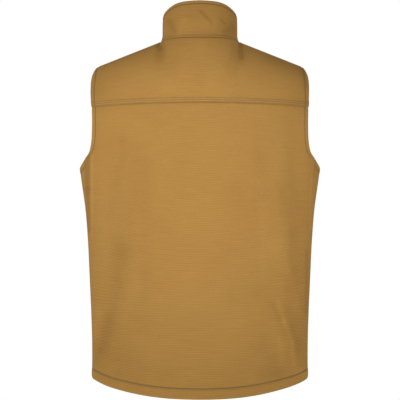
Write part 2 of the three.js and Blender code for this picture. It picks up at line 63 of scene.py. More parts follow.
# Its last two lengths say where the back's painted shade ends over the shoulder, and how far it fades.
cloth = dict(thickness=0.0024, turned=0.0033, seamGap=0.0004, unevenness=0.00028, lastWave=0.6,
             waves=[(61, 23, 0.7), (-19, 34, 1.9), (97, -71, 2.2)], paintedShadeEnd=0.01, paintedShadeFade=0.035)
rounds = dict(place=12, height=30, seamTop=20)  # how often each search for a place is repeated

# Folds run along lines: across, down, to across, to down, how wide, and how far out in metres. The rest is in shares
# of half the chest and of the length.
backFolds = [
    (-0.33, 0.0, -0.34, 0.055, 0.045, -0.0028), (0.34, 0.0, 0.35, 0.06, 0.04, -0.0032),
    (0.26, 0.03, 0.22, 0.12, 0.07, -0.0016), (0.84, 0.1, 0.86, 0.16, 0.09, -0.002),
    (0.78, 0.11, 0.45, 0.17, 0.1, 0.0016), (-0.84, 0.2, -0.85, 0.31, 0.07, -0.0016),
    (-0.88, 0.33, -0.93, 0.58, 0.07, 0.0024), (0.9, 0.33, 0.93, 0.55, 0.06, 0.0016),
    (-0.74, 0.38, -0.76, 0.6, 0.09, -0.0024), (-0.58, 0.3, -0.62, 0.56, 0.1, 0.002),
    (-0.44, 0.42, -0.62, 0.68, 0.1, -0.002), (-0.66, 0.72, -0.83, 0.95, 0.08, -0.004),
    (-0.6, 0.84, -0.74, 1.0, 0.08, 0.0024), (0.86, 0.42, 0.88, 0.72, 0.08, -0.002),
    (0.56, 0.35, 0.6, 0.75, 0.11, -0.0016), (0.66, 0.78, 0.82, 0.98, 0.07, 0.0028),
    (0.52, 0.86, 0.6, 1.0, 0.1, -0.0028),
    (0.02, 0.075, 0.0, 0.125, 0.05, -0.0009), (-0.2, 0.28, -0.34, 0.5, 0.07, 0.0007),
    (0.24, 0.5, 0.3, 0.8, 0.05, -0.0009), (-0.12, 0.6, -0.3, 0.86, 0.08, -0.0008),
    (0.7, 0.62, 0.84, 0.8, 0.035, 0.0013), (0.4, 0.2, 0.62, 0.3, 0.06, -0.0008),
]
frontFolds = [
    (-0.4, 0.12, -0.62, 0.3, 0.1, -0.002), (0.4, 0.12, 0.6, 0.31, 0.1, -0.002),
    (-0.6, 0.55, -0.5, 0.9, 0.1, -0.0032), (0.62, 0.5, 0.48, 0.88, 0.1, -0.0032),
    (-0.3, 0.7, -0.34, 1.0, 0.1, 0.0024), (0.32, 0.66, 0.3, 1.0, 0.1, 0.0024),
    (-0.82, 0.42, -0.78, 0.75, 0.08, 0.002), (0.83, 0.45, 0.8, 0.78, 0.08, 0.002),
]

# Soft painted shade and highlight along the back's folds and edges, on lines as above: the last number is a share of
# the colour, darker below zero and paler above.
backPaintedShade = [
    (-0.5, 0.33, -0.61, 0.61, 0.11, -0.06), (-0.63, 0.62, -0.77, 0.88, 0.08, -0.1),
    (-0.42, 0.37, -0.45, 0.75, 0.05, -0.04), (-0.63, 0.29, -0.63, 0.37, 0.03, -0.05),
    (0.49, 0.33, 0.52, 0.47, 0.05, -0.03), (0.65, 0.44, 0.75, 0.57, 0.05, -0.06),
    (0.75, 0.57, 0.72, 0.73, 0.05, -0.05), (0.59, 0.77, 0.8, 0.91, 0.04, -0.07), (0.6, 0.6, 0.6, 0.6, 0.07, 0.05),
    (0.52, 0.89, 0.63, 0.97, 0.06, -0.04), (0.34, 0.04, 0.36, 0.05, 0.05, -0.12),
    (0.58, 0.055, 0.84, 0.085, 0.08, -0.13), (0.85, 0.085, 0.87, 0.135, 0.045, -0.1),
    (-0.33, 0.03, -0.33, 0.05, 0.045, -0.13), (-0.82, 0.11, -0.83, 0.16, 0.05, -0.04),
    (-0.21, 0.07, -0.23, 0.11, 0.05, -0.05), (0.24, 0.07, 0.25, 0.11, 0.04, -0.06),
    (0.0, 0.02, 0.0, 0.03, 0.05, 0.05), (0.0, 0.12, 0.0, 0.12, 0.06, -0.04), (-0.6, 0.13, 0.6, 0.14, 0.16, 0.08),
    (0.46, 0.3, 0.47, 0.75, 0.03, -0.025), (0.335, 0.009, 0.339, 0.056, 0.016, -0.42),
    (0.27, 0.015, 0.25, 0.06, 0.014, -0.07), (-0.36, 0.008, -0.33, 0.025, 0.02, -0.28),
    (-0.33, 0.025, -0.345, 0.05, 0.03, -0.05), (-0.92, 0.34, -0.925, 0.44, 0.028, -0.2),
    (-0.925, 0.44, -0.912, 0.56, 0.026, -0.2), (-0.886, 0.34, -0.894, 0.57, 0.015, 0.16),
    (0.925, 0.41, 0.915, 0.56, 0.014, 0.1), (-0.62, 0.3, -0.67, 0.42, 0.05, -0.04),
    (-0.67, 0.42, -0.75, 0.52, 0.05, -0.04), (0.882, 0.62, 0.878, 0.8, 0.015, -0.12),
    (0.632, 0.763, 0.683, 0.822, 0.02, 0.09), (0.683, 0.822, 0.755, 0.886, 0.02, 0.11),
    (0.755, 0.886, 0.768, 0.95, 0.022, 0.1), (0.71, 0.79, 0.81, 0.89, 0.03, -0.05),
    (0.64, 0.87, 0.67, 0.94, 0.02, 0.05), (-0.741, 0.812, -0.823, 0.91, 0.05, -0.07),
    (-0.823, 0.91, -0.864, 0.95, 0.04, -0.07), (-0.634, 0.812, -0.7, 0.886, 0.05, 0.03),
    (-0.7, 0.886, -0.741, 0.96, 0.05, 0.04), (0.82, 0.975, 0.9, 0.99, 0.05, 0.12),
    (-0.15, 0.03, 0.15, 0.03, 0.12, 0.05), (-0.75, 0.22, -0.5, 0.28, 0.15, 0.04),
    (-0.5, 0.82, -0.75, 0.97, 0.12, -0.055), (0.7, 0.4, 0.75, 0.5, 0.08, -0.04), (0.35, 0.94, 0.6, 0.95, 0.1, -0.03),
    (-0.85, 0.8, -0.85, 0.86, 0.05, 0.05), (0.3, 0.45, 0.35, 0.6, 0.15, -0.03), (-0.8, 0.24, -0.8, 0.3, 0.06, 0.04),
    (0.73, 0.25, 0.79, 0.72, 0.06, -0.035), (0.49, 0.42, 0.5, 0.69, 0.06, 0.03),
    (-0.64, 0.33, -0.64, 0.42, 0.05, 0.04), (-0.69, 0.58, -0.67, 0.74, 0.06, -0.035),
    (-0.75, 0.92, -0.3, 0.97, 0.08, -0.035), (-0.85, 0.187, 0.2, 0.178, 0.022, 0.07),
    (-0.97, 0.15, -0.97, 0.18, 0.03, 0.12), (0.95, 0.15, 0.95, 0.19, 0.03, 0.12),
    (-0.65, 0.975, -0.5, 0.99, 0.05, -0.05), (0.5, 0.975, 0.65, 0.975, 0.05, -0.06),
    (0.73, 0.35, 0.73, 0.43, 0.04, -0.03),
]

halfChest = body["chestWidth"] / 2
halfNeck = shoulder["neckWidth"] / 2
length = body["length"]
quarter = math.pi / 2


def mix(low, high, share):
    return low + (high - low) * share


def easeInOut(share):
    return share * share * (3 - 2 * share)


def readTable(rows, column, at):  # a smooth curve through one column of a table
    keys = np.array([row[0] for row in rows])
    values = np.array([row[column] for row in rows])
    last = len(keys) - 1
    at = np.clip(at, keys[0], keys[last])
    after = np.clip(np.searchsorted(keys, at, side="left"), 1, last)
    before = after - 1
    early, late = np.maximum(after - 2, 0), np.minimum(after + 1, last)
    slopeIn = (values[after] - values[early]) / (keys[after] - keys[early])
    slopeOut = (values[late] - values[before]) / (keys[late] - keys[before])
    step = keys[after] - keys[before]
    share = (at - keys[before]) / step
    bend = (share - 1) ** 2 * share * slopeIn + share ** 2 * (share - 1) * slopeOut
    return mix(values[before], values[after], easeInOut(share)) + bend * step


def halfWidth(z):
    return halfChest * readTable(body["sections"], 1, -z / length)


def shoulderHeight(x):
    past = np.clip((np.abs(x) - shoulder["reach"] + shoulder["droopStart"]) / shoulder["droopWidth"], 0, 1)
    outside = shoulder["slope"] * (halfNeck - np.abs(x)) - shoulder["settle"]
    outside = outside - shoulder["droop"] * past ** shoulder["droopCurve"]
    inside = shoulder["crown"] * (1 - (x / halfNeck) ** 2)
    blend = np.clip((np.abs(x) - halfNeck) / shoulder["neckBlend"] + 1, 0, 1)
    return mix(inside, outside, easeInOut(blend))


tipHeight = float(shoulderHeight(shoulder["reach"]))
backSide = dict(facing=-1, depth=body["bladeDepth"], column=2, rounding=shoulder["backRounding"],
                full=shoulder["backFullness"], folds=backFolds, edge=armhole["backEdge"])
frontSide = dict(facing=1, depth=body["chestDepth"], column=3, rounding=shoulder["frontRounding"],
                 full=shoulder["frontFullness"], folds=frontFolds, edge=armhole["frontEdge"])


def depthAt(side, z):
    return side["depth"] * readTable(body["sections"], side["column"], -z / length)


def dropOf(side, fall):
    return side["rounding"] * np.where(fall >= quarter, 1 + (fall - quarter) / quarter, 1 - np.cos(fall))


def fallOf(side, drop):
    share = np.maximum(drop, 0) / side["rounding"]
    return np.where(share >= 1, quarter + (share - 1) * quarter, np.arccos(np.clip(1 - share, 0, 1)))


def oval(across):
    across = np.minimum(np.abs(across), 1)
    return np.maximum(0, 1 - across ** body["squareness"]) ** (1 / body["squareness"])


def strokes(lines, x, z, wide, tall):  # the sum of soft strokes, each along its line
    push = np.zeros(np.broadcast(x, z).shape)
    for across, level, toAcross, toLevel, spread, depth in lines:
        alongX, alongZ = (toAcross - across) * wide, (toLevel - level) * tall
        fromX, fromZ = x - across * wide, z - level * tall
        nearest = np.clip((fromX * alongX + fromZ * alongZ) / (alongX ** 2 + alongZ ** 2 + 1e-12), 0, 1)
        away = np.hypot(fromX - nearest * alongX, fromZ - nearest * alongZ) / (spread * wide)
        push = push + depth * np.exp(-away * away)
    return push


def foldAt(side, x, z):  # how far the folds and the cloth's own unevenness push it out
    one, two, three = [np.sin(across * x + up * z + start) for across, up, start in cloth["waves"]]
    uneven = cloth["unevenness"] * (one * two + cloth["lastWave"] * three)
    return strokes(side["folds"], x, z, halfChest, -length) + uneven


def placeAt(side, sweep, z, fall, inset):
    across, level = np.sin(sweep), np.clip(fall, 0, quarter)
    y = side["facing"] * (depthAt(side, z) - inset) * oval(across) * np.sin(level) ** (2 / side["full"])
    x = (halfWidth(z) - inset) * across
    push = foldAt(side, x, z) * np.cos(sweep) * np.sin(level)
    return np.stack([x + push * across, y + side["facing"] * push, z - inset * np.cos(level)], axis=-1)


def heightOf(side, sweep, fall):
    z = -dropOf(side, fall)
    for _ in range(rounds["place"]):
        z = shoulderHeight(halfWidth(z) * np.sin(sweep)) - dropOf(side, fall)
    return z


def placeSpot(sweep, fall, inset):  # a fall below zero is in front of the shoulder line
    level = np.abs(fall)
    behind = placeAt(backSide, sweep, heightOf(backSide, sweep, level), level, inset)
    ahead = placeAt(frontSide, sweep, heightOf(frontSide, sweep, level), level, inset)
    return np.where((fall >= 0)[..., None], behind, ahead)


def fallAt(side, sweep, z):
    return fallOf(side, shoulderHeight(halfWidth(z) * np.sin(sweep)) - z)


def placeByHeight(side, sweep, z, inset):
    return placeAt(side, sweep, z, fallAt(side, sweep, z), inset)


def placeRound(turn, z, inset):  # round the whole body, from the centre front to beyond the side
    behind = placeByHeight(backSide, np.sign(turn) * (math.pi - np.abs(turn)), z, inset)
    return np.where((np.abs(turn) <= quarter)[..., None], placeByHeight(frontSide, turn, z, inset), behind)


def sweepOf(x, z):
    return np.arcsin(np.clip(x / halfWidth(z), -1, 1))


def spotAbove(side, x, y):  # the sweep and fall of the point of a side at x and y
    z, fall = shoulderHeight(x), 0
    for _ in range(rounds["place"]):
        share = np.clip(np.abs(y) / np.maximum(depthAt(side, z) * oval(x / halfWidth(z)), 1e-9), 0, 1)
        fall = np.arcsin(share ** (side["full"] / 2))
        z = shoulderHeight(x) - dropOf(side, fall)
    return sweepOf(x, z), fall


def necklineSpot(turn):  # a quarter turn is the centre back, and the same below zero the centre front
    x, reach = halfNeck * np.cos(turn), np.abs(np.sin(turn))
    sweepBack, fallBack = spotAbove(backSide, x, shoulder["neckBack"] * reach)
    sweepFront, fallFront = spotAbove(frontSide, x, shoulder["neckFront"] * reach)
    return np.where(turn >= 0, sweepBack, sweepFront), np.where(turn >= 0, fallBack, -fallFront)


forwardTurn = math.asin(shoulder["seamForward"] / shoulder["neckFront"])


def armholeSweep(side, z):
    drop = np.clip((tipHeight - z) / (armhole["depth"] + tipHeight), 0, 1)
    return sweepOf(mix(shoulder["reach"], halfWidth(z), readTable(side["edge"], 1, drop)), z)


def armholeAtFall(side, fall):
    z = np.full(np.shape(fall), tipHeight)
    for _ in range(rounds["place"]):
        z = 0.5 * z + 0.5 * heightOf(side, armholeSweep(side, z), fall)
    return armholeSweep(side, z)


def seamSweep(z):
    down = easeInOut(np.clip((-z - armhole["depth"]) / (armhole["setbackFade"] * length), 0, 1))
    share = mix(armhole["sideSetback"], armhole["lowSetback"], down) / depthAt(backSide, z)
    return np.arcsin((1 - share ** body["squareness"]) ** (1 / body["squareness"]))


def armholeHeight(sweep):
    low = np.full(np.shape(sweep), -armhole["depth"])
    high = 0.75 * low
    for _ in range(rounds["height"]):
        middle = (low + high) / 2
        within = armholeSweep(backSide, middle) > sweep
        low, high = np.where(within, middle, low), np.where(within, high, middle)
    return (low + high) / 2


seamTop = -armhole["depth"]
for _ in range(rounds["seamTop"]):
    seamTop = float(armholeHeight(seamSweep(np.array(seamTop))))


def hemLevel(share, dip, curve):
    lifted = body["cornerLift"] * np.abs(share) ** body["cornerCurve"]
    return lifted - length - dip * (1 - np.abs(share) ** curve)


def yokeSeam(share):
    return -shoulder["yokeDrop"] - shoulder["yokeArch"] * share * share


# materials
class Socket:  # wraps a shader socket so that its maths is written as an expression
    def __init__(self, maker, link):
        self.maker, self.link = maker, link

    def join(self, operation, other, swapped=False):
        ends = [other, self] if swapped else [self, other]
        return self.maker.node("ShaderNodeMath", dict(operation=operation), {0: ends[0], 1: ends[1]})

    def __add__(self, other): return self.join("ADD", other)
    def __radd__(self, other): return self.join("ADD", other)
    def __sub__(self, other): return self.join("SUBTRACT", other)
    def __rsub__(self, other): return self.join("SUBTRACT", other, True)
    def __mul__(self, other): return self.join("MULTIPLY", other)
    def __rmul__(self, other): return self.join("MULTIPLY", other)
    def __truediv__(self, other): return self.join("DIVIDE", other)
    def __rtruediv__(self, other): return self.join("DIVIDE", other, True)


class Finish:  # one material and its nodes
    def __init__(self, name, roughness, sheen=0.0, specular=0.3, metallic=0.0):
        self.material = bpy.data.materials.new(name)
        self.material.use_nodes = True
        self.tree = self.material.node_tree
        self.shader = self.tree.nodes["Principled BSDF"]
        self.shader.inputs["Roughness"].default_value = roughness
        self.shader.inputs["Sheen Weight"].default_value = sheen
        self.shader.inputs["Sheen Roughness"].default_value = 0.6
        self.shader.inputs["Specular IOR Level"].default_value = specular
        self.shader.inputs["Metallic"].default_value = metallic

    def node(self, kind, settings, inputs, output=0):
        made = self.tree.nodes.new(kind)
        for key, value in settings.items():
            setattr(made, key, value)
        for key, value in inputs.items():
            if isinstance(value, Socket):
                self.tree.links.new(value.link, made.inputs[key])
            elif isinstance(value, tuple) and len(value) == 3 and made.inputs[key].type == "RGBA":
                made.inputs[key].default_value = (*value, 1)
            else:
                made.inputs[key].default_value = value
        return Socket(self, made.outputs[output])

    def feed(self, name, value):
        self.tree.links.new(value.link, self.shader.inputs[name])

    def sine(self, value):
        return self.node("ShaderNodeMath", dict(operation="SINE"), {0: value})

    def magnitude(self, value):
        return self.node("ShaderNodeMath", dict(operation="ABSOLUTE"), {0: value})

    def floor(self, value):
        return self.node("ShaderNodeMath", dict(operation="FLOOR"), {0: value})

    def limit(self, value, low, high, toLow=0.0, toHigh=1.0):
        return self.node("ShaderNodeMapRange", dict(clamp=True), {0: value, 1: low, 2: high, 3: toLow, 4: toHigh})

    def attribute(self, name):
        return self.node("ShaderNodeAttribute", dict(attribute_name=name), {}, "Fac")

    def noise(self, vector, scale, detail=2.0, roughness=0.5):
        return self.node("ShaderNodeTexNoise", {}, {"Vector": vector, "Scale": scale, "Detail": detail,
                                                    "Roughness": roughness}, "Fac")

    def stretch(self, vector, scale):
        return self.node("ShaderNodeMapping", dict(vector_type="POINT"), {"Vector": vector, "Scale": scale})

    def blend(self, share, low, high, kind="MIX"):
        return self.node("ShaderNodeMix", dict(data_type="RGBA", blend_type=kind), {0: share, 6: low, 7: high}, 2)

    def bump(self, height, strength, distance, normal=None):
        inputs = {"Height": height, "Strength": strength, "Distance": distance}
        if normal:
            inputs["Normal"] = normal
        return self.node("ShaderNodeBump", {}, inputs)


# seam is the colour laid along stitch rows and seams: partly the thread's line, partly painted shade.
canvasLook = dict(
    colour=(0.482, 0.256, 0.066), dark=(0.36, 0.185, 0.044), pale=(0.528, 0.295, 0.085), seam=(0.22, 0.135, 0.045),
    warp=0.00085, weft=0.00105, rib=0.0045, ribBow=2.4, ribTurn=6.2, ribShade=0.085, weaveDepth=0.00007,
    slubDepth=0.0001, roughness=0.9, specular=0.04, slubScale=(22, 430, 1), threadScale=(900, 60, 1),
    wideScale=(7, 9, 1), seamShare=0.95, wearShare=0.5, mostPaintedShade=0.25, evenShare=0.4,
)


def clothSpot(finish):  # the piece's flat cloth map, and its two directions
    spot = finish.node("ShaderNodeUVMap", dict(uv_map="cloth"), {})
    across = finish.node("ShaderNodeSeparateXYZ", {}, {0: spot})
    return spot, across, Socket(finish, across.link.node.outputs[1])


def canvasFinish(name, look, weaveStrength=0.6):
    finish = Finish(name, look["roughness"], specular=look["specular"])
    spot, across, down = clothSpot(finish)
    row = finish.floor(down / look["weft"])
    warp = finish.sine(across * (math.pi / look["warp"]) + row * math.pi)
    weft = finish.magnitude(finish.sine(down * (math.pi / look["weft"])))
    weave = (warp * 0.5 + 0.5) * weft
    slub = finish.noise(finish.stretch(spot, look["slubScale"]), 1.0, 2.0, 0.65)
    thread = finish.noise(finish.stretch(spot, look["threadScale"]), 1.0, 1.0, 0.5)
    wide = finish.noise(finish.stretch(spot, look["wideScale"]), 1.0, 3.0, 0.55)
    groove, wear = finish.attribute("groove"), finish.attribute("wear")
    bow = down * look["ribTurn"] + look["ribBow"]  # the ribs bow up at the sides, and down again near the hem
    ribs = finish.sine((down - across * across * bow) * (2 * math.pi / look["rib"]) + (slub + wide) * 3.0)
    fibres = slub * 0.5 + thread * 0.25 + wide * 0.25 + weave * 0.12 + ribs * look["ribShade"]
    colour = finish.blend(finish.limit(fibres, 0.3, 0.76), look["dark"], look["pale"])
    colour = finish.blend(look["evenShare"], colour, look["colour"])
    # Painted shade and highlight: a value stored at each point darkens or pales the colour, within a set share.
    low, high = 1 - look["mostPaintedShade"], 1 + look["mostPaintedShade"]
    tone = finish.limit(finish.attribute("tone"), -look["mostPaintedShade"], look["mostPaintedShade"])
    tone = finish.blend(tone, (low, low, low), (high, high, high))
    colour = finish.blend(1.0, colour, tone, "MULTIPLY")
    # Darker along stitch rows and seams: partly the thread's line, partly painted shade in their grooves, and a painted
    # shadow under the yoke's lap.
    colour = finish.blend(groove * look["seamShare"], colour, look["seam"])
    colour = finish.blend(wear * finish.limit(slub + wide, 0.8, 1.2) * look["wearShare"], colour, look["pale"])
    finish.feed("Base Color", colour)
    finish.feed("Roughness", finish.limit(slub, 0.3, 0.7, look["roughness"] - 0.06, look["roughness"] + 0.08))
    fine = finish.bump(weave + thread * 0.5, weaveStrength, look["weaveDepth"])
    finish.feed("Normal", finish.bump(slub + wide * 0.4 + ribs * 0.15, 0.8, look["slubDepth"], fine))
    return finish.material


threadLook = dict(colour=(0.20, 0.155, 0.092), dark=(0.12, 0.092, 0.055), roughness=0.62, fleckScale=900.0,
                  plyScale=3200.0, plyDepth=0.0002)


def threadFinish(name, look):
    finish = Finish(name, look["roughness"], 0.1, 0.35)
    spot = finish.node("ShaderNodeTexCoord", {}, {}, "Object")
    fleck = finish.noise(spot, look["fleckScale"], 2.0)
    ply = finish.noise(spot, look["plyScale"], 1.0)
    finish.feed("Base Color", finish.blend(finish.limit(fleck, 0.3, 0.7), look["dark"], look["colour"]))
    finish.feed("Roughness", finish.limit(fleck, 0.3, 0.7, look["roughness"] - 0.1, look["roughness"] + 0.1))
    finish.feed("Normal", finish.bump(ply, 0.5, look["plyDepth"]))
    return finish.material


tapeLook = dict(colour=(0.16, 0.098, 0.043), dark=(0.10, 0.06, 0.027), roughness=0.8, slants=1500.0, steps=1100.0,
                stepShift=2.2, fleckScale=220.0, slantDepth=0.0002)


def tapeFinish(name, look):
    finish = Finish(name, look["roughness"], 0.1, 0.25)
    spot, across, down = clothSpot(finish)
    steps = finish.magnitude(finish.sine(down * look["steps"]))
    slant = finish.magnitude(finish.sine(across * look["slants"] + steps * look["stepShift"]))
    shade = finish.limit(slant * 0.6 + finish.noise(spot, look["fleckScale"]) * 0.5, 0.2, 0.9)
    finish.feed("Base Color", finish.blend(shade, look["dark"], look["colour"]))
    finish.feed("Roughness", finish.limit(slant, 0, 1, look["roughness"] - 0.05, look["roughness"] + 0.08))
    finish.feed("Normal", finish.bump(slant, 0.5, look["slantDepth"]))
    return finish.material


metalLook = dict(colour=(0.30, 0.22, 0.13), dark=(0.17, 0.115, 0.06), roughness=0.38, metallic=0.85,
                 wornScale=160.0, scratchScale=(2200, 300, 300), scratchDepth=0.0001)


def metalFinish(name, look):
    finish = Finish(name, look["roughness"], 0.0, 0.5, look["metallic"])
    spot = finish.node("ShaderNodeTexCoord", {}, {}, "Object")
    worn = finish.noise(spot, look["wornScale"], 3.0)
    scratch = finish.noise(finish.stretch(spot, look["scratchScale"]), 1.0, 2.0)
    finish.feed("Base Color", finish.blend(finish.limit(worn, 0.35, 0.65), look["dark"], look["colour"]))
    finish.feed("Roughness", finish.limit(worn + scratch * 0.4, 0.4, 0.95, look["roughness"] - 0.1, 0.62))
    finish.feed("Normal", finish.bump(scratch, 0.25, look["scratchDepth"]))
    return finish.material


collarLook = dict(canvasLook, colour=(0.45, 0.24, 0.061), dark=(0.33, 0.172, 0.042), pale=(0.505, 0.277, 0.079),
                  ribShade=0.05)
liningLook = dict(canvasLook, colour=(0.42, 0.228, 0.078), dark=(0.33, 0.175, 0.058), pale=(0.47, 0.27, 0.105),
                  warp=0.0006, weft=0.0006, weaveDepth=0.00004)
canvas = canvasFinish("duckCanvas", canvasLook)
collarCanvas = canvasFinish("collarCanvas", collarLook)
lining = canvasFinish("lining", liningLook, weaveStrength=0.35)
thread = threadFinish("topstitchThread", threadLook)
zipCloth = tapeFinish("zipTapeWeave", tapeLook)
zipMetal = metalFinish("zipMetal", metalLook)
print("materials made")


# making cloth pieces
def activate(piece):
    bpy.ops.object.select_all(action="DESELECT")
    piece.select_set(True)
    bpy.context.view_layer.objects.active = piece


def editMesh(choose, operator, **options):  # one step in edit mode, after choosing all, none or what was chosen
    bpy.ops.object.mode_set(mode="EDIT")
    if choose:
        bpy.ops.mesh.select_all(action=choose)
    operator(**options)
    bpy.ops.object.mode_set(mode="OBJECT")


def ledger(whole, step, starts, ends):  # distances along a side, even in the middle and close near its ends
    first, last = starts[-1], whole - ends[-1]
    middle = np.linspace(first, last, max(2, int(round((last - first) / step))) + 1)
    return np.concatenate([starts[:-1], middle, whole - np.array(ends[:-1])[::-1]])


# Turned edges: their rim, puffed turning and pulled-in row of stitches. A shape says how high, how far in, how wide.
edging = dict(rim=(-0.0013, 0.0009), rimCurve=1.3, puff=0.0007, hemPuff=0.0008, pull=0.00055, pullWidth=0.0008,
              shade=0.85, shadeWidth=0.0011, worn=(1, 0, 0.0025), stitchLevel=-0.0004, farOff=9.0)
# Seams between the pieces, as shapes too. A roll says how high and how wide, a shade how dark the colour is painted
# instead of how high: partly the thread's line, partly painted shade in the seam.
seams = dict(
    sideRoll=(-0.0011, 0.0009), sidePuff=(0.0006, 0.0035, 0.0026), sideShade=(0.5, 0, 0.0014),
    frontRoll=(-0.0011, 0.0011), frontPuff=(0.0004, 0.0035, 0.0026), frontShade=(0.7, 0, 0.0016),
    shoulderDip=(-0.0009, 0, 0.0012), shoulderShade=(0.5, 0, 0.0015),
    collarDip=(-0.0004, 0, 0.0014), collarPuff=(0.0003, 0.005, 0.005), collarShade=(0.9, 0, 0.0014),
    neckShade=(0.8, 0, 0.0022),
)


def ridge(distance, shape):
    return shape[0] * np.exp(-((distance - shape[1]) / shape[2]) ** 2)


def roll(distance, shape):
    return shape[0] * np.exp(-(distance / shape[1]) ** edging["rimCurve"])


def edgeLines(turn):  # distances from a turned edge at which the cloth has lines
    return [0.0, 0.0004, 0.001, 0.0019, 0.0032, mix(0.0032, turn, 0.33), mix(0.0032, turn, 0.68), turn - 0.0011,
            turn - 0.0005, turn, turn + 0.0005, turn + 0.0011, turn + 0.0022, turn + 0.0042]


def rolledLift(distance, turn, puff=edging["puff"]):
    swell = puff * np.sin(np.clip(distance / turn, 0, 1) * math.pi) ** 0.7
    return roll(distance, edging["rim"]) + swell - ridge(distance, (edging["pull"], turn, edging["pullWidth"]))


# Darker colour along a row of stitches: partly the thread's line, partly painted shade in its groove.
def grooveShade(distance, turn):
    return ridge(distance, (edging["shade"], turn, edging["shadeWidth"]))


def wavering(along, at, wave):  # a wave's length, how far it wanders, at what pace and from where
    long, wander, pace, start = wave
    return np.sin(along * 2 * math.pi / long + wander * np.sin(at * pace + start))


def collarSeamLift(distance):
    return ridge(distance, seams["collarPuff"]) + ridge(distance, seams["collarDip"])


def paintBackShade(points):  # the back's painted shade and highlight, fading out over the shoulder line
    fade = np.clip((cloth["paintedShadeEnd"] - points[..., 1]) / cloth["paintedShadeFade"], 0, 1)
    return fade * strokes(backPaintedShade, points[..., 0], points[..., 2], halfChest, -length)


def clothPiece(name, points, spread, groove, wear, thick, outer, inner, kept=None, tone=None):
    rows, columns = points.shape[0] - 1, points.shape[1] - 1
    bpy.ops.mesh.primitive_grid_add(x_subdivisions=columns, y_subdivisions=rows, size=1)
    piece = bpy.context.object
    piece.name = piece.data.name = name
    mesh = piece.data
    mesh.vertices.foreach_set("co", points.reshape(-1))
    corners = np.empty(len(mesh.loops), dtype=np.int32)
    mesh.loops.foreach_get("vertex_index", corners)
    layer = mesh.uv_layers[0]
    layer.name = "cloth"
    layer.data.foreach_set("uv", spread.reshape(-1, 2)[corners].astype(np.float32).reshape(-1))
    # Painted shade and highlight at each point: the back's strokes unless given.
    tone = paintBackShade(points) if tone is None else tone
    for key, values in (("groove", groove), ("wear", wear), ("tone", tone)):
        store = mesh.attributes.new(key, "FLOAT", "POINT")
        values = np.broadcast_to(values, (rows + 1, columns + 1))
        store.data.foreach_set("value", values.astype(np.float32).reshape(-1))
    group = piece.vertex_groups.new(name="thick")
    most = float(np.max(thick))
    weights = np.round(np.broadcast_to(thick, (rows + 1, columns + 1)).reshape(-1) / most, 2)
    for weight in np.unique(weights):
        group.add(np.nonzero(weights == weight)[0].tolist(), float(weight), "REPLACE")
    mesh.update()
    activate(piece)
    if kept is not None:  # leave out what lies outside the cut
        editMesh("DESELECT", bpy.ops.mesh.select_mode, type="VERT")
        for vertex, keep in zip(mesh.vertices, kept.reshape(-1)):
            vertex.select = not bool(keep)
        editMesh(None, bpy.ops.mesh.delete, type="VERT")
    mesh.materials.append(outer)
    mesh.materials.append(inner)
    centres, normals = np.empty(len(mesh.polygons) * 3), np.empty(len(mesh.polygons) * 3)
    mesh.polygons.foreach_get("center", centres)
    mesh.polygons.foreach_get("normal", normals)
    away = (centres.reshape(-1, 3) - np.array([0.0, 0.01, -0.3])) * np.array([1, 1, 0.2])  # from the body's middle
    if float(np.sum(away * normals.reshape(-1, 3))) < 0:
        editMesh("SELECT", bpy.ops.mesh.flip_normals)
    wall = piece.modifiers.new("wall", "SOLIDIFY")
    wall.thickness, wall.offset = most, -1
    wall.vertex_group, wall.thickness_vertex_group = "thick", 0
    wall.material_offset, wall.material_offset_rim = 1, 0
    bpy.ops.object.modifier_apply(modifier="wall")
    bpy.ops.object.shade_smooth()
    return piece


def spreadOf(points, startColumn, startRow):  # each point's place on the flat cloth, by lengths along the grid
    across = np.cumsum(np.linalg.norm(np.diff(points, axis=1, prepend=points[:, :1]), axis=2), axis=1)
    down = np.cumsum(np.linalg.norm(np.diff(points, axis=0, prepend=points[:1]), axis=2), axis=0)
    return np.stack([across - across[:, startColumn:startColumn + 1], down[startRow:startRow + 1] - down], axis=2)


def areaOf(points, kept=None):
    one, two = points[1:, 1:] - points[:-1, :-1], points[1:, :-1] - points[:-1, 1:]
    cells = np.linalg.norm(np.cross(one, two), axis=2) / 2
    if kept is not None:
        cells = cells[kept[1:, 1:] & kept[:-1, :-1] & kept[1:, :-1] & kept[:-1, 1:]]
    return float(cells.sum())


# the lower back
lowerBack = dict(
    step=0.0028, puckerDepth=0.00055, puckerWave=(0.0105, 1.7, 31, 0.4), puckerAtStitch=0.0085,
    puckerAtHem=(0.5, 0, 0.01), underEnd=0.0004, underFade=0.0012, underShadow=0.0006, underWidth=0.004,
    lapShade=0.5, lapShadeWidth=0.0014, armholeFade=0.006,
    puckerSwell=(0.55, 0.45, 23.0, 9.1, 1.3, 0.6),
)
tuck = shoulder["yokeLap"] - cloth["seamGap"]
backTop = yokeSeam(1.0) + tuck


def lowerBackPoint(across, down, lift):  # across from -1 to 1, down from the yoke's lap to the hem
    side = backTop - down * (length + backTop)
    edge = np.where(side > seamTop, armholeSweep(backSide, side), seamSweep(side))
    width = np.sin(across * edge)
    z = side + (yokeSeam(width) - yokeSeam(1.0)) * (1 - down)
    z = z + (hemLevel(width, body["tail"], body["hemCurve"]) + length) * down
    return placeByHeight(backSide, across * edge, z, -lift)


backLength = length - shoulder["yokeDrop"] + tuck
halfLines = ledger(halfChest, lowerBack["step"], [0.0, 0.0], edgeLines(armhole["turn"]))[1:]
acrossLines = np.concatenate([-halfLines[::-1], halfLines[1:]]) / halfChest
lapLines = [0.0, 0.004, tuck - 0.0004, tuck, tuck + 0.0006, tuck + 0.0014, tuck + 0.003]
downLines = ledger(backLength, lowerBack["step"], lapLines, edgeLines(body["hemTurn"])) / backLength


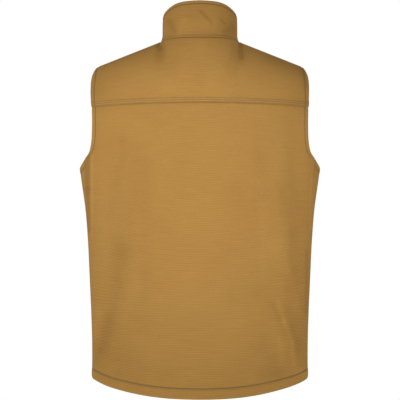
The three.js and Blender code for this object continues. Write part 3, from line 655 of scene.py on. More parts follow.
def hemPuckers(across, fromHem, side=1.0):  # short upright puckers pulled in by the hem's stitches
    near = ridge(fromHem, (1, body["hemTurn"], lowerBack["puckerAtStitch"])) + ridge(fromHem, lowerBack["puckerAtHem"])
    beat = wavering(across, across, lowerBack["puckerWave"])
    even, swell, quick, slow, first, second = lowerBack["puckerSwell"]
    uneven = even + swell * np.sin(across * quick + first * side) * np.sin(across * slow + second)
    return lowerBack["puckerDepth"] * near * beat * uneven


def lowerBackLift(across, down):
    fromLap, fromHem, fromEdge = down * backLength, (1 - down) * backLength, (1 - np.abs(across)) * halfChest
    side = backTop - down * (length + backTop)
    onArmhole = easeInOut(np.clip((side - seamTop) / lowerBack["armholeFade"] + 0.5, 0, 1))
    seam = ridge(fromEdge, seams["sidePuff"]) + roll(fromEdge, seams["sideRoll"])
    lift = mix(seam, rolledLift(fromEdge, armhole["turn"]), onArmhole)
    lift = lift + rolledLift(fromHem, body["hemTurn"], edging["hemPuff"]) + hemPuckers(across * halfChest, fromHem)
    under = np.clip((tuck + lowerBack["underEnd"] - fromLap) / lowerBack["underFade"], 0, 1)
    shadow = ridge(fromLap, (lowerBack["underShadow"], tuck, lowerBack["underWidth"]))
    return mix(lift - shadow, -cloth["thickness"] / 2, under), onArmhole, fromHem, fromEdge


acrossGrid, downGrid = np.meshgrid(acrossLines, downLines)
lift, onArmhole, fromHem, fromEdge = lowerBackLift(acrossGrid, downGrid)
points = lowerBackPoint(acrossGrid, downGrid, lift)
fromLap = np.maximum(0, downGrid * backLength - tuck)
# Darker along the hem, the armhole, the side seam and the yoke's lap: thread lines and painted shade, with a painted
# shadow under the lap.
groove = np.maximum.reduce([
    grooveShade(fromHem, body["hemTurn"]), onArmhole * grooveShade(fromEdge, armhole["turn"]),
    (1 - onArmhole) * ridge(fromEdge, seams["sideShade"]),
    ridge(fromLap, (lowerBack["lapShade"], 0, lowerBack["lapShadeWidth"]))])
wear = ridge(fromHem, edging["worn"]) + onArmhole * ridge(fromEdge, edging["worn"])
fromArmhole = np.where(onArmhole > 0.5, fromEdge, edging["farOff"])
turned = (fromHem < body["hemTurn"]) | (fromArmhole < armhole["turn"])
thick = np.where(turned, cloth["turned"], cloth["thickness"])
thick = np.where(downGrid * backLength < tuck - 0.0002, cloth["thickness"] / 2, thick)
centre = len(acrossLines) // 2
spread = spreadOf(points, centre, lapLines.index(tuck))
backPanel = clothPiece("backPanel", points, spread, groove, wear, thick, canvas, lining)
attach(backPanel, "root")
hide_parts("back_panel")
areaOf(points)
print("lower back made", round(areaOf(points), 4))

# the yoke
yoke = dict(
    rows=(0.0012, 0.005, 0.0088), outerStep=0.0025, height=0.16, collarEnd=0.1, lapFade=0.0035,
    lapRoll=(-0.0012, 0.0006), lapWear=(0.8, 0, 0.0012), lapSwell=0.6, rowPull=(0.0003, 0.0007),
    rowShade=(0.4, 0.0008), puckerDepth=0.00018, puckerReach=(1, 0.006, 0.009),
    puckerWave=(0.0085, 1.1, 17, 0),
)
neckShare = 0.5  # where the collar's end of the yoke gives way to the shoulder seam


def yokeSeamSpot(share, lift):
    z = yokeSeam(1.0) + lift
    sweep = share * armholeSweep(backSide, np.full(np.shape(share), z))
    return sweep, fallAt(backSide, sweep, yokeSeam(np.sin(sweep)) + lift)


def topSpot(share, neckTurn, seamY):  # along the neckline, and from there out along the shoulder
    neckSweep, neckFall = necklineSpot(mix(neckTurn[0], neckTurn[1], np.clip(share / neckShare, 0, 1)))
    x = mix(halfNeck, shoulder["reach"], np.clip((share - neckShare) / (1 - neckShare), 0, 1))
    tipSweep, tipFall = spotAbove(frontSide, x, seamY)
    return np.where(share <= neckShare, neckSweep, tipSweep), np.where(share <= neckShare, neckFall, -tipFall)


def yokeTopSpot(share):
    return topSpot(share, (quarter, -forwardTurn), shoulder["seamForward"])


def yokePoint(across, up, lift):  # up is below zero on the lap, in shares of it, and runs to 1 at the collar
    share = np.abs(across)
    lowSweep, lowFall = yokeSeamSpot(share, shoulder["yokeLap"])
    topSweep, topFall = yokeTopSpot(share)
    one = np.ones(1)
    cornerLow, cornerTop = yokeSeamSpot(one, shoulder["yokeLap"]), yokeTopSpot(one)
    rise = np.clip(up, 0, 1)
    edgeFall = mix(cornerLow[1], cornerTop[1], rise)
    behind, ahead = [armholeAtFall(side, np.abs(edgeFall)) for side in (backSide, frontSide)]
    pull = share ** 3 * (np.where(edgeFall >= 0, behind, ahead) - mix(cornerLow[0], cornerTop[0], rise))
    sweep, fall = mix(lowSweep, topSweep, rise) + pull, mix(lowFall, topFall, rise)
    lapSweep, lapFall = yokeSeamSpot(share, shoulder["yokeLap"] * (1 + np.minimum(up, 0)))
    sweep, fall = np.where(up < 0, lapSweep, sweep), np.where(up < 0, lapFall, fall)
    return placeSpot(np.sign(across) * sweep, fall, -lift)


rowMarks = sorted({0.0, 0.0003, *[round(row + step, 5) for row in yoke["rows"]
                                  for step in (-0.0011, -0.0005, 0, 0.0005, 0.0011)]})
lapUp = [mark / shoulder["yokeLap"] - 1 for mark in rowMarks if mark < shoulder["yokeLap"]]
upLines = np.concatenate([lapUp, np.linspace(0, 1, 62)])


def outerLines(step):  # along the shoulder, with lines for the armhole's turned edge
    turned = ledger(halfChest * (1 - neckShare), step, [0.0, 0.0], edgeLines(armhole["turn"]))
    return neckShare + turned[1:] / halfChest


shareLines = np.concatenate([np.linspace(0, neckShare, 48)[:-1], outerLines(yoke["outerStep"])])
acrossLines = np.concatenate([-shareLines[::-1], shareLines[1:]])
acrossGrid, upGrid = np.meshgrid(acrossLines, upLines)


def yokeLift(across, up):
    fromEdge = (1 - np.abs(across)) * halfChest
    above = np.clip(up, 0, 1) * yoke["height"]
    fromLow = (1 + np.minimum(up, 0)) * shoulder["yokeLap"] + above
    lap = easeInOut(np.clip(1 - above / yoke["lapFade"], 0, 1))
    lift = lap * shoulder["lapRaise"] + roll(fromLow, yoke["lapRoll"])
    # The stitch rows, armhole, collar seam and shoulder seam darken the colour: thread lines and painted shade in their
    # grooves.
    groove = 0.0 * across
    for row in yoke["rows"]:
        lift = lift - ridge(fromLow, (yoke["rowPull"][0], row, yoke["rowPull"][1]))
        groove = np.maximum(groove, ridge(fromLow, (yoke["rowShade"][0], row, yoke["rowShade"][1])))
    small = wavering(across * halfChest, across, yoke["puckerWave"])
    lift = lift + yoke["puckerDepth"] * small * ridge(fromLow, yoke["puckerReach"])
    lift = lift + rolledLift(fromEdge, armhole["turn"]) * np.where(up < 0, yoke["lapSwell"], 1)
    fromTop = np.clip(1 - up, 0, 1) * yoke["collarEnd"]
    fromCollar = fromTop + np.maximum(np.abs(across) - neckShare, 0) * halfChest
    fromShoulder = fromTop + np.where(np.abs(across) < neckShare, edging["farOff"], 0)
    lift = lift + collarSeamLift(fromCollar) + ridge(fromShoulder, seams["shoulderDip"])
    groove = np.maximum.reduce([groove, grooveShade(fromEdge, armhole["turn"]), ridge(fromCollar, seams["collarShade"]),
                                ridge(fromShoulder, seams["shoulderShade"])])
    return lift, groove, fromEdge, fromLow


lift, groove, fromEdge, fromLow = yokeLift(acrossGrid, upGrid)
points = yokePoint(acrossGrid, upGrid, lift)
wear = ridge(fromEdge, edging["worn"]) + ridge(fromLow, yoke["lapWear"])
thick = np.where(upGrid < 0.001, shoulder["lapRaise"] + cloth["thickness"] / 2 - cloth["seamGap"],
                 np.where(fromEdge < armhole["turn"], cloth["turned"], cloth["thickness"]))
centre = len(acrossLines) // 2
spread = spreadOf(points, centre, 0) * np.array([1, -1])
backYoke = clothPiece("backYoke", points, spread, groove, wear, thick, canvas, lining)
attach(backYoke, "root")
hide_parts("back_yoke")
areaOf(points)
print("yoke made", round(areaOf(points), 4))

# the fronts
fronts = dict(step=0.0034, opening=0.011, edgeStitch=0.0065, edgePuff=0.0004, zipWear=(1, 0, 0.002), wrapWidth=0.05,
              shoulderGap=1.3, collarEnd=0.1)
seamAngle = -0.5 * cloth["seamGap"] / body["bladeDepth"]
zipTurn = math.acos(fronts["opening"] / shoulder["neckWidth"])
frontLength = length - armhole["depth"]


def zipSweep(z):
    return sweepOf(fronts["opening"] / 2, z)


def chestTurn(share):
    return mix(zipSweep(np.array(-armhole["depth"])), quarter, share)


def frontTopSpot(share):
    sweep, fall = topSpot(share, (-zipTurn, -forwardTurn - seamAngle),
                          shoulder["seamForward"] + fronts["shoulderGap"] * cloth["seamGap"])
    return sweep, -fall


frontCorner = [float(value[0]) for value in frontTopSpot(np.ones(1))]
frontCornerHeight = float(heightOf(frontSide, np.array(frontCorner[0]), np.array(frontCorner[1])))


def frontEdgeSpot(height):
    sweep = armholeSweep(frontSide, height)
    return sweep, fallAt(frontSide, sweep, height)


def frontUpperPoint(share, up, lift):
    chest = np.full(np.shape(share), -armhole["depth"])
    low = (chestTurn(share), fallAt(frontSide, chestTurn(share), chest))
    top = frontTopSpot(share)
    lowEnd = (quarter, float(fallAt(frontSide, np.array(quarter), np.array(-armhole["depth"]))))
    edge = frontEdgeSpot(mix(-armhole["depth"], frontCornerHeight, up))
    edgeTop = frontEdgeSpot(np.array(frontCornerHeight))
    spot = [mix(low[i], top[i], up) + share ** 3 * (edge[i] - mix(lowEnd[i], frontCorner[i], up)
            - (edgeTop[i] - frontCorner[i]) * up) for i in (0, 1)]
    return placeAt(frontSide, spot[0], heightOf(frontSide, spot[0], spot[1]), spot[1], -lift)


def frontLowerPoint(share, wrap, down, lift):
    top = np.where(wrap > 0, armholeHeight(mix(quarter, float(seamSweep(np.array(seamTop))), wrap)), -armhole["depth"])
    z = mix(top, hemLevel(np.sin(np.where(wrap > 0, quarter, chestTurn(share))), body["frontDip"], 2), down)
    last = math.pi - seamSweep(z) - seamAngle
    turn = np.where(wrap > 0, mix(quarter, last, wrap), mix(zipSweep(z), quarter, share))
    return placeRound(turn, z, -lift)


shareLines = np.concatenate([[0.0, 0.0005, 0.0012, 0.0024, 0.004, 0.0056, 0.0062, 0.0068, 0.0076, 0.009],
                             np.linspace(0.012, halfChest * neckShare, 36)[:-1]]) / halfChest
shareLines = np.concatenate([shareLines, outerLines(fronts["step"])])
wrapLines = np.concatenate([np.linspace(0, 0.9, 15)[1:], [0.93, 0.955, 0.975, 0.99, 1.0]])
upLines = np.linspace(1, 0, 66)[:-1] ** 1.5
lowLines = ledger(frontLength, fronts["step"], edgeLines(armhole["turn"]), edgeLines(body["hemTurn"])) / frontLength
upperRows, shareCount = len(upLines), len(shareLines)
rowCount, columnCount = upperRows + len(lowLines), shareCount + len(wrapLines)


def fill(columns, rows):  # a value for each column added to one for each row
    return np.broadcast_to(np.array(columns)[None, :] + np.array(rows)[:, None], (rowCount, columnCount))


noColumns, noRows = np.zeros(columnCount), np.zeros(rowCount)
shareGrid = fill(np.concatenate([shareLines, np.ones(len(wrapLines))]), noRows)
wrapGrid = fill(np.concatenate([np.zeros(shareCount), wrapLines]), noRows)
lowGrid = fill(noColumns, np.concatenate([np.zeros(upperRows), lowLines]))
upGrid = fill(noColumns, np.concatenate([upLines, np.zeros(len(lowLines))]))
isUpper = fill(noColumns, np.arange(rowCount)) < upperRows
kept = ~(isUpper & (wrapGrid > 0))
farOff = edging["farOff"]
fromZip, fromOuter = shareGrid * halfChest, (1 - shareGrid) * halfChest
fromArmhole = np.where(isUpper, fromOuter, np.hypot(fromOuter, lowGrid * frontLength))
fromHem = np.where(isUpper, farOff, (1 - lowGrid) * frontLength)
fromSeam = np.where(wrapGrid > 0, (1 - wrapGrid) * fronts["wrapWidth"], farOff)
fromTop = np.where(isUpper, (1 - upGrid) * fronts["collarEnd"], farOff)
fromNeck = fromTop + np.maximum(shareGrid - neckShare, 0) * halfChest
fromShoulder = np.where(shareGrid >= neckShare, fromTop, farOff)
lift = rolledLift(fromArmhole, armhole["turn"]) + rolledLift(fromHem, body["hemTurn"], edging["hemPuff"])
lift = lift + rolledLift(fromZip, fronts["edgeStitch"], fronts["edgePuff"])
lift = lift + hemPuckers(fromZip + wrapGrid * fronts["wrapWidth"], fromHem, -1)
lift = lift + roll(fromSeam, seams["frontRoll"]) + ridge(fromSeam, seams["frontPuff"])
lift = lift + ridge(fromShoulder, seams["shoulderDip"]) + collarSeamLift(fromNeck)
# Darker along the edges' stitch rows and the seams: thread lines and painted shade in their grooves.
groove = np.maximum.reduce([
    grooveShade(fromArmhole, armhole["turn"]), grooveShade(fromHem, body["hemTurn"]),
    grooveShade(fromZip, fronts["edgeStitch"]), ridge(fromSeam, seams["frontShade"]),
    ridge(fromShoulder, seams["shoulderShade"]), ridge(fromNeck, seams["neckShade"])])
wear = ridge(fromArmhole, edging["worn"]) + ridge(fromHem, edging["worn"]) + ridge(fromZip, fronts["zipWear"])
turned = (fromArmhole < armhole["turn"]) | (fromHem < body["hemTurn"]) | (fromZip < fronts["edgeStitch"])
thick = np.where(turned, cloth["turned"], cloth["thickness"])
upper = frontUpperPoint(shareGrid, np.clip(upGrid, 0, 1), lift)
lower = frontLowerPoint(shareGrid, wrapGrid, lowGrid, lift)
rightPoints = np.where(isUpper[..., None], upper, lower)
frontArea = areaOf(rightPoints, kept)
for name, node, hand in (("frontRight", "front_right", 1), ("frontLeft", "front_left", -1)):
    points = rightPoints * np.array([hand, 1, 1])
    spread = spreadOf(rightPoints, 0, upperRows)
    spread[upperRows:] = spreadOf(rightPoints[upperRows:], 0, 0)
    piece = clothPiece(name, points, spread * np.array([hand, 1]), groove, wear, thick, canvas, lining, kept)
    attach(piece, "root")
    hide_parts(node)
print("fronts made", round(frontArea, 4))

# the collar
collar = dict(
    height=0.0747, thickness=0.0032, lean=0.006, seat=0.0016, topStitch=0.0065, baseStitch=0.006, topPuff=0.0005,
    baseDip=(-0.0016, 0, 0.0016), basePuff=(0.0005, 0.003, 0.002), baseShade=(0.9, 0, 0.0013),
    basePull=(0.0004, 0.0008), rowShade=(0.4, 0.0009), rippleDepth=0.00028, rippleWave=(0.0075, 1.4, 60, 0),
    rippleSwell=(0.6, 0.4, 90, 1),
    rippleLow=(1, 0.007, 0.006), rippleHigh=(0.6, 0.007, 0.005), topWear=(0.7, 0, 0.002), zipWear=(0.6, 0, 0.002),
    # The creases' gain: how darkly their hollows are painted as shade, and how palely their ridges as highlight.
    endShare=0.95, band=0.07, creasePaintedShade=140, creaseFade=0.5,
    # share of the rise and of the neck's width, then share of the way round and of the height
    rings=[(0.0, 0.985), (0.1, 0.957), (0.25, 0.938), (0.5, 0.936), (0.8, 0.933), (1.0, 0.917)],
    top=[(0.0, 1.0), (0.09, 0.99), (0.17, 0.968), (0.25, 0.916), (0.33, 0.83), (0.42, 0.735), (0.5, 0.64),
         (0.67, 0.435), (0.83, 0.24), (1.0, 0.135)],
    creases=[  # across, rise, to across, to rise, width and depth, in metres but for rise
        (0.002, 0.71, 0.023, 0.43, 0.0035, -0.0012), (0.042, 0.53, 0.048, 0.45, 0.003, -0.001),
        (-0.061, 0.61, -0.048, 0.2, 0.006, -0.001), (0.05, 0.2, 0.066, 0.45, 0.008, -0.0008),
        (-0.071, 0.55, -0.07, 0.3, 0.004, 0.0009), (-0.02, 0.3, 0.02, 0.42, 0.012, 0.0006),
        (-0.045, 0.15, -0.03, 0.5, 0.008, 0.0007)],
)


def collarPoint(turn, hand, rise, lift):
    wide = readTable(collar["rings"], 1, rise)
    reach = np.where(turn >= 0, shoulder["neckBack"], shoulder["neckFront"])
    x = hand * (halfNeck * wide + lift) * np.cos(turn)
    y = collar["lean"] * rise - (reach * wide + lift) * np.sin(turn)
    sweep, fall = necklineSpot(turn)
    seam = placeSpot(hand * sweep, fall, 0 * turn)[..., 2] - collar["seat"]
    top = collar["height"] * readTable(collar["top"], 1, (quarter - turn) / math.pi)
    return np.stack([x, y, mix(seam, top, rise)], axis=-1)


turnLines = np.concatenate([
    np.linspace(quarter, -zipTurn + 0.12, 92),
    -zipTurn + np.array([0.1, 0.08, 0.06, 0.045, 0.03, 0.018, 0.009, 0.004, 0.0])])
riseLines = np.concatenate([
    [0, 0.006, 0.014, 0.025, 0.04, 0.058, 0.07, 0.08, 0.09, 0.1, 0.115, 0.14], np.linspace(0.17, 0.86, 24),
    [0.88, 0.895, 0.903, 0.912, 0.92, 0.935, 0.952, 0.967, 0.98, 0.99, 0.996, 1.0]])
hands = np.concatenate([-np.ones(len(turnLines) - 1), np.ones(len(turnLines))])
turns = np.concatenate([turnLines[::-1][:-1], turnLines])
turnGrid, riseGrid = np.meshgrid(turns, riseLines)
handGrid = np.broadcast_to(hands, turnGrid.shape)
flat = collarPoint(turnGrid, handGrid, riseGrid, 0 * turnGrid)
height = flat[-1:, :, 2] - flat[:1, :, 2]
fromTop, fromBase = (1 - riseGrid) * height, riseGrid * height
fromZip = (turnGrid + zipTurn) * shoulder["neckFront"] * collar["endShare"]
aroundBack = flat[..., 0]
lift = rolledLift(fromTop, collar["topStitch"], collar["topPuff"])
lift = lift + rolledLift(fromZip, fronts["edgeStitch"], fronts["edgePuff"])
lift = lift + ridge(fromBase, collar["baseDip"]) + ridge(fromBase, collar["basePuff"])
lift = lift - ridge(fromBase, (collar["basePull"][0], collar["baseStitch"], collar["basePull"][1]))
ripple = wavering(aroundBack, aroundBack, collar["rippleWave"])
even, swell, pace, start = collar["rippleSwell"]
ripple = ripple * (even + swell * np.sin(aroundBack * pace + start)) * collar["rippleDepth"]
lift = lift + ripple * (ridge(fromBase, collar["rippleLow"]) + ridge(fromTop, collar["rippleHigh"]))
creases = strokes(collar["creases"], aroundBack, riseGrid * collar["band"], 1, collar["band"])
creases = creases * easeInOut(np.clip(turnGrid / collar["creaseFade"], 0, 1))  # on the back half only
points = collarPoint(turnGrid, handGrid, riseGrid, lift + creases)
# Darker along the collar's stitch rows and its seam: thread lines and painted shade in their grooves.
groove = np.maximum.reduce([
    grooveShade(fromTop, collar["topStitch"]), ridge(fromBase, collar["baseShade"]),
    ridge(fromBase, (collar["rowShade"][0], collar["baseStitch"], collar["rowShade"][1])),
    grooveShade(fromZip, fronts["edgeStitch"])])
wear = ridge(fromTop, collar["topWear"]) + ridge(fromZip, collar["zipWear"])
spread = spreadOf(points, len(turnLines) - 1, 0) * np.array([1, -1])
# The collar's creases also colour it: painted shade in their hollows, painted highlight on their ridges.
standCollar = clothPiece("standCollar", points, spread, groove, wear, np.full(turnGrid.shape, collar["thickness"]),
                         collarCanvas, lining, tone=creases * collar["creasePaintedShade"])
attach(standCollar, "root")
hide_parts("stand_collar")
areaOf(points)
print("collar made", round(areaOf(points), 4))

# the front zip
zipParts = dict(tapeWidth=0.032, tapeThickness=0.001, tapeTop=0.95, teethTop=0.9, teethEnd=0.99, gap=0.0012,
                endMargin=0.004, pitch=0.0028, offMiddle=1e-6)


def zipPoint(x, down, inset):  # down below zero is on the collar
    sweep, fall = necklineSpot(np.array([-quarter]))
    seam = float(placeSpot(sweep, fall, np.zeros(1))[0, 2])
    end = zipParts["endMargin"] - length - body["frontDip"]
    z = mix(seam, end, np.clip(down, 0, 1))
    onBody = placeByHeight(frontSide, sweepOf(x, z), z, inset)
    turn = -np.arccos(np.clip(np.abs(x) / halfNeck, 0, 1))
    onCollar = collarPoint(turn, np.sign(x) + (x == 0), np.clip(-down, 0, 1), -inset)
    return np.where((down < 0)[..., None], onCollar, onBody)


tapeAcross = np.linspace(-0.5, 0.5, 13) * zipParts["tapeWidth"]
tapeDown = np.concatenate([-np.linspace(zipParts["tapeTop"], 0.05, 14), np.linspace(0.002, 1, 180)])
xGrid, tapeGrid = np.meshgrid(tapeAcross, tapeDown)
points = zipPoint(xGrid, tapeGrid, cloth["turned"] + zipParts["gap"] + 0 * xGrid)
zipTape = clothPiece("zipTape", points, spreadOf(points, len(tapeAcross) // 2, 0), 0.0, 0.0,
                     np.full(xGrid.shape, zipParts["tapeThickness"]), zipCloth, zipCloth)
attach(zipTape, "root")
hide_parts("front_zip")
print("zip tape made")


def rowCurve(name, points):  # a bare curve through points, for a row of stitches or teeth to follow
    data = bpy.data.curves.new(name, "CURVE")
    data.dimensions, data.twist_mode = "3D", "Z_UP"
    spline = data.splines.new("POLY")
    spline.points.add(len(points) - 1)
    spline.points.foreach_set("co", np.concatenate([points, np.ones((len(points), 1))], axis=1).reshape(-1))
    curve = bpy.data.objects.new(name, data)
    bpy.context.collection.objects.link(curve)
    return curve


def runAlong(piece, points, pitch):  # repeats a small part along a line of points
    whole = float(np.linalg.norm(np.diff(points, axis=0), axis=1).sum())
    count = max(1, int(whole / pitch))
    curve = rowCurve(piece.name + "Line", points)
    activate(piece)
    repeat = piece.modifiers.new("repeat", "ARRAY")
    repeat.fit_type, repeat.count = "FIXED_COUNT", count
    repeat.use_relative_offset, repeat.use_constant_offset = False, True
    repeat.constant_offset_displace = (whole / count, 0, 0)
    follow = piece.modifiers.new("follow", "CURVE")
    follow.object, follow.deform_axis = curve, "POS_X"
    bpy.ops.object.modifier_apply(modifier="repeat")
    bpy.ops.object.modifier_apply(modifier="follow")
    bpy.data.objects.remove(curve)


stitch = dict(length=0.0027, thick=0.0009, flatness=0.9, pitch=0.0035, over=0.0001, overLap=0.0002, end=0.985,
              yokeEnd=0.992, hemEnd=0.995, frontEnd=0.99)


def stitchRow(name, points):
    bpy.ops.mesh.primitive_uv_sphere_add(segments=6, ring_count=4, radius=0.5, rotation=(0, quarter, 0))
    piece = bpy.context.object
    piece.name = piece.data.name = name
    bpy.ops.object.transform_apply(location=False, rotation=True, scale=False)
    piece.scale = (stitch["length"], stitch["thick"], stitch["thick"] * stitch["flatness"])
    bpy.ops.object.transform_apply(location=False, rotation=False, scale=True)
    editMesh("SELECT", bpy.ops.transform.translate, value=(stitch["pitch"] / 2, 0, 0))
    runAlong(piece, points, stitch["pitch"])
    bpy.ops.object.shade_smooth()
    return piece


def joinRows(name, rows):
    activate(rows[0])
    for row in rows:
        row.select_set(True)
    bpy.ops.object.join()
    piece = bpy.context.object
    piece.name = piece.data.name = name
    piece.data.materials.clear()
    piece.data.materials.append(thread)
    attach(piece, "root")
    return piece


def onBack(across, down):
    across, down = [part + 0.0 for part in np.broadcast_arrays(across, down)]
    return lowerBackPoint(across, down, lowerBackLift(across, down)[0] + stitch["over"])


def onYoke(across, up, over):
    across, up = [part + 0.0 for part in np.broadcast_arrays(across, up)]
    return yokePoint(across, up, yokeLift(across, up)[0] + over)


def onFront(share, wrap, down, hand):
    share, wrap, down = [part + 0.0 for part in np.broadcast_arrays(share, wrap, down)]
    return frontLowerPoint(share, wrap, down, 0 * share + edging["stitchLevel"]) * np.array([hand, 1, 1])


def onFrontTop(share, rise, hand):
    return frontUpperPoint(0 * rise + share, rise, 0 * rise + edging["stitchLevel"]) * np.array([hand, 1, 1])


across = np.linspace(-stitch["yokeEnd"], stitch["yokeEnd"], 260)
rows = [onYoke(across, mark / shoulder["yokeLap"] - 1, stitch["overLap"]) for mark in yoke["rows"]]
joinRows("yokeStitches", [stitchRow("yokeRow", row) for row in rows])

turn = armhole["turn"]
edgeShare = 1 - turn / halfChest
down = np.linspace(0, 1, 240) * (backTop - seamTop) / (length + backTop)
down = down[down * backLength > tuck + 0.001]
angle = np.linspace(0, quarter, 12)[1:]  # round the foot of the armhole
wrap = np.linspace(0.02, 0.98, 40)
for side, hand in (("Right", 1), ("Left", -1)):
    path = np.concatenate([
        onFrontTop(edgeShare, np.linspace(stitch["end"], 0.0, 200) ** 1.5, hand),
        onFront(1 - turn * np.cos(angle) / halfChest, 0, turn * np.sin(angle) / frontLength, hand),
        onFront(1, wrap, turn / frontLength, hand)])
    up = np.linspace(-0.95, stitch["end"], 160)
    joinRows("armholeStitches" + side, [
        stitchRow("backRow", onBack(hand * edgeShare, down)), stitchRow("frontRow", path),
        stitchRow("yokeRow", onYoke(hand * edgeShare, up, stitch["over"]))])

across = np.linspace(-stitch["hemEnd"], stitch["hemEnd"], 400)
rows = [stitchRow("hemRow", onBack(across, 1 - body["hemTurn"] / backLength))]
hemDown = 1 - body["hemTurn"] / frontLength
for hand in (1, -1):
    path = [onFront(np.linspace(0.005, 1, 200), 0, hemDown, hand), onFront(1, wrap, hemDown, hand)]
    rows.append(stitchRow("frontHemRow", np.concatenate(path)))
joinRows("hemStitches", rows)

rows = []
share = fronts["edgeStitch"] / halfChest
for hand in (1, -1):
    path = [onFrontTop(share, np.linspace(stitch["end"], 0.0, 160) ** 1.5, hand),
            onFront(share, 0, np.linspace(0, stitch["frontEnd"], 200)[1:], hand)]
    rows.append(stitchRow("frontEdgeRow", np.concatenate(path)))
joinRows("frontEdgeStitches", rows)

halfTurn = np.linspace(-zipTurn + 0.03, quarter, 200)
turns = np.concatenate([halfTurn[:-1], halfTurn[::-1]])
hands = np.concatenate([-np.ones(len(halfTurn) - 1), np.ones(len(halfTurn))])
base, top = [collarPoint(turns, hands, 0 * turns + rise, 0 * turns)[:, 2] for rise in (0, 1)]
level = 0 * turns + edging["stitchLevel"] + stitch["over"]
rows = [stitchRow("collarRow", collarPoint(turns, hands, rise, level))
        for rise in (1 - collar["topStitch"] / (top - base), collar["baseStitch"] / (top - base))]
joinRows("collarStitches", rows)
print("stitches made")

# Teeth: one tooth shaped and repeated down each side, the two sides half a pitch apart.
tooth = dict(length=0.0012, width=0.0034, height=0.0016, bevel=0.00025, fromMiddle=0.0011, start=0.001, seat=0.0002)


def toothRow(name, offset, shift):
    bpy.ops.mesh.primitive_cube_add(size=1)
    piece = bpy.context.object
    piece.name = piece.data.name = name
    piece.scale = (tooth["length"], tooth["width"], tooth["height"])
    bpy.ops.object.transform_apply(location=False, rotation=False, scale=True)
    editMesh("SELECT", bpy.ops.mesh.bevel, offset=tooth["bevel"], segments=1)
    editMesh("SELECT", bpy.ops.transform.translate, value=(tooth["start"], offset, 0))
    downs = np.concatenate([-np.linspace(zipParts["teethTop"], 0.02, 40), np.linspace(0.0, zipParts["teethEnd"], 300)])
    path = zipPoint(0 * downs + zipParts["offMiddle"], downs, 0 * downs + cloth["thickness"] - tooth["seat"])
    path[:, 2] -= shift
    runAlong(piece, path, zipParts["pitch"])
    return piece


teethLeft = toothRow("teethLeft", tooth["fromMiddle"], 0.0)
teethRight = toothRow("teethRight", -tooth["fromMiddle"], zipParts["pitch"] / 2)
activate(teethLeft)
teethRight.select_set(True)
bpy.ops.object.join()
zipTeeth = bpy.context.object
zipTeeth.name = zipTeeth.data.name = "zipTeeth"
zipTeeth.data.materials.append(zipMetal)
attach(zipTeeth, "root")

# The slider rests at the top of the zip, with its pull hanging down.
slider = dict(
    width=0.0095, length=0.0125, depth=0.0036, out=0.0014, bevel=0.0011, taper=0.72, rise=-0.55,
    pullWidth=0.0085, pullLength=0.034, pullDepth=0.0016, pullOut=0.0046, pullUp=0.002, pullBevel=0.0005,
    pullTaper=0.8, pullRim=0.0024,
)
place = zipPoint(np.array([zipParts["offMiddle"]]), np.array([slider["rise"]]), np.array([0.0]))[0]


def roundedBlock(name, size, centre, bevel, taper, rimWidth=0.0):
    bpy.ops.mesh.primitive_cube_add(size=1, location=tuple(centre))
    piece = bpy.context.object
    piece.name = piece.data.name = name
    piece.scale = size
    bpy.ops.object.transform_apply(location=True, rotation=False, scale=True)
    for vertex in piece.data.vertices:
        if vertex.co.z < centre[2]:
            vertex.co.x *= taper
    if rimWidth:  # the pull is a flat loop with a hole through it
        editMesh("DESELECT", bpy.ops.mesh.select_mode, type="FACE")
        for face in piece.data.polygons:
            face.select = abs(face.normal.y) > 0.9
        editMesh(None, bpy.ops.mesh.inset, thickness=rimWidth)
        editMesh(None, bpy.ops.mesh.bridge_edge_loops)
    soft = piece.modifiers.new("soft", "BEVEL")
    soft.width, soft.segments, soft.limit_method = bevel, 2, "ANGLE"
    bpy.ops.object.modifier_apply(modifier="soft")
    bpy.ops.object.shade_smooth_by_angle(angle=math.radians(40))
    piece.data.materials.append(zipMetal)
    return piece


zipSlider = roundedBlock("zipSlider", (slider["width"], slider["depth"], slider["length"]),
                         place + np.array([0, slider["out"], 0]), slider["bevel"], slider["taper"])
hang = slider["pullUp"] - slider["pullLength"] / 2
zipPull = roundedBlock("zipPull", (slider["pullWidth"], slider["pullDepth"], slider["pullLength"]),
                       place + np.array([0, slider["pullOut"], hang]), slider["pullBevel"], slider["pullTaper"],
                       slider["pullRim"])
for piece in (zipSlider, zipPull):
    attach(piece, "root")
print("zip made")

# stage, lights and camera
stage = dict(floorLevel=-1.45, floorSize=9.0, floorColour=(0.93, 0.93, 0.93), roomColour=(1.0, 0.99, 0.98, 1),
             roomLight=0.25, whiteLight=1.0, spotBlend=1.0, spotRadius=0.3)
bpy.ops.mesh.primitive_plane_add(size=stage["floorSize"], location=(0, 0, stage["floorLevel"]))
floor = bpy.context.object
floor.name = floor.data.name = "floor"
floorFinish = Finish("paleFloor", 0.9)
floorFinish.feed("Base Color", floorFinish.blend(
    floorFinish.noise(floorFinish.node("ShaderNodeTexCoord", {}, {}, "Object"), 3.0),
    stage["floorColour"], tuple(part + 0.02 for part in stage["floorColour"])))
floor.data.materials.append(floorFinish.material)

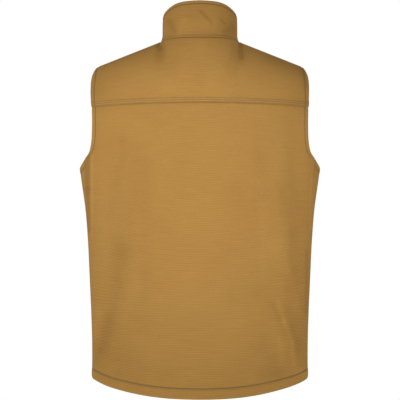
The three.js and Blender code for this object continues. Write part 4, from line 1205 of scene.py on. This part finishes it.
world = bpy.data.worlds.new("paleRoom")  # dim all round, and plain white where the camera sees past the vest
bpy.context.scene.world = world
world.use_nodes = True
tree = world.node_tree
tree.nodes.clear()
room, white = [tree.nodes.new("ShaderNodeBackground") for _ in range(2)]
room.inputs[0].default_value, room.inputs[1].default_value = stage["roomColour"], stage["roomLight"]
white.inputs[0].default_value, white.inputs[1].default_value = (1, 1, 1, 1), stage["whiteLight"]
choose, finalWorld = tree.nodes.new("ShaderNodeMixShader"), tree.nodes.new("ShaderNodeOutputWorld")
ends = [tree.nodes.new("ShaderNodeLightPath").outputs["Is Camera Ray"], room.outputs[0], white.outputs[0]]
for number, end in enumerate(ends):
    tree.links.new(end, choose.inputs[number])
tree.links.new(choose.outputs[0], finalWorld.inputs[0])

aim = (0.0, 0.0, -0.28)
lamps = [  # name, kind, place, size or cone in degrees, watts
    ("keyHigh", "AREA", (-2.2, -2.4, 0.8), 1.2, 19), ("keyLevel", "AREA", (-2.2, -2.4, -0.3), 1.2, 10),
    ("sideFill", "AREA", (2.8, -0.2, -0.2), 1.2, 14), ("backSpot", "SPOT", (0.0, -3.4, -0.1), 20, 238),
    ("chestLight", "AREA", (0.9, 3.0, 0.5), 2.0, 55), ("chestFill", "AREA", (-2.4, 2.0, -0.2), 1.5, 18),
]
for name, kind, at, size, watts in lamps:
    bpy.ops.object.light_add(type=kind, location=at)
    lamp = bpy.context.object
    lamp.name, lamp.data.energy = name, watts
    if kind == "AREA":
        lamp.data.size = size
    else:
        lamp.data.spot_size, lamp.data.spot_blend = math.radians(size), stage["spotBlend"]
        lamp.data.shadow_soft_size = stage["spotRadius"]
    away = np.array(at) - np.array(aim)
    lamp.rotation_euler = (math.atan2(math.hypot(away[0], away[1]), away[2]), 0, math.atan2(away[0], -away[1]))

view = dict(away=3.2, aside=0.0001, level=-0.308, sensor=36, across=0.78)  # across: what the frame spans at the vest
bpy.ops.object.camera_add(location=(view["aside"], -view["away"], view["level"]), rotation=(quarter, 0, 0))
camera = bpy.context.object
camera.name, camera.data.sensor_width = "camera", view["sensor"]
camera.data.lens = view["sensor"] * view["away"] / view["across"]
bpy.context.scene.camera = camera
bpy.context.scene.view_settings.view_transform = "Standard"
bpy.context.scene.view_settings.look = "None"

print("scene made")
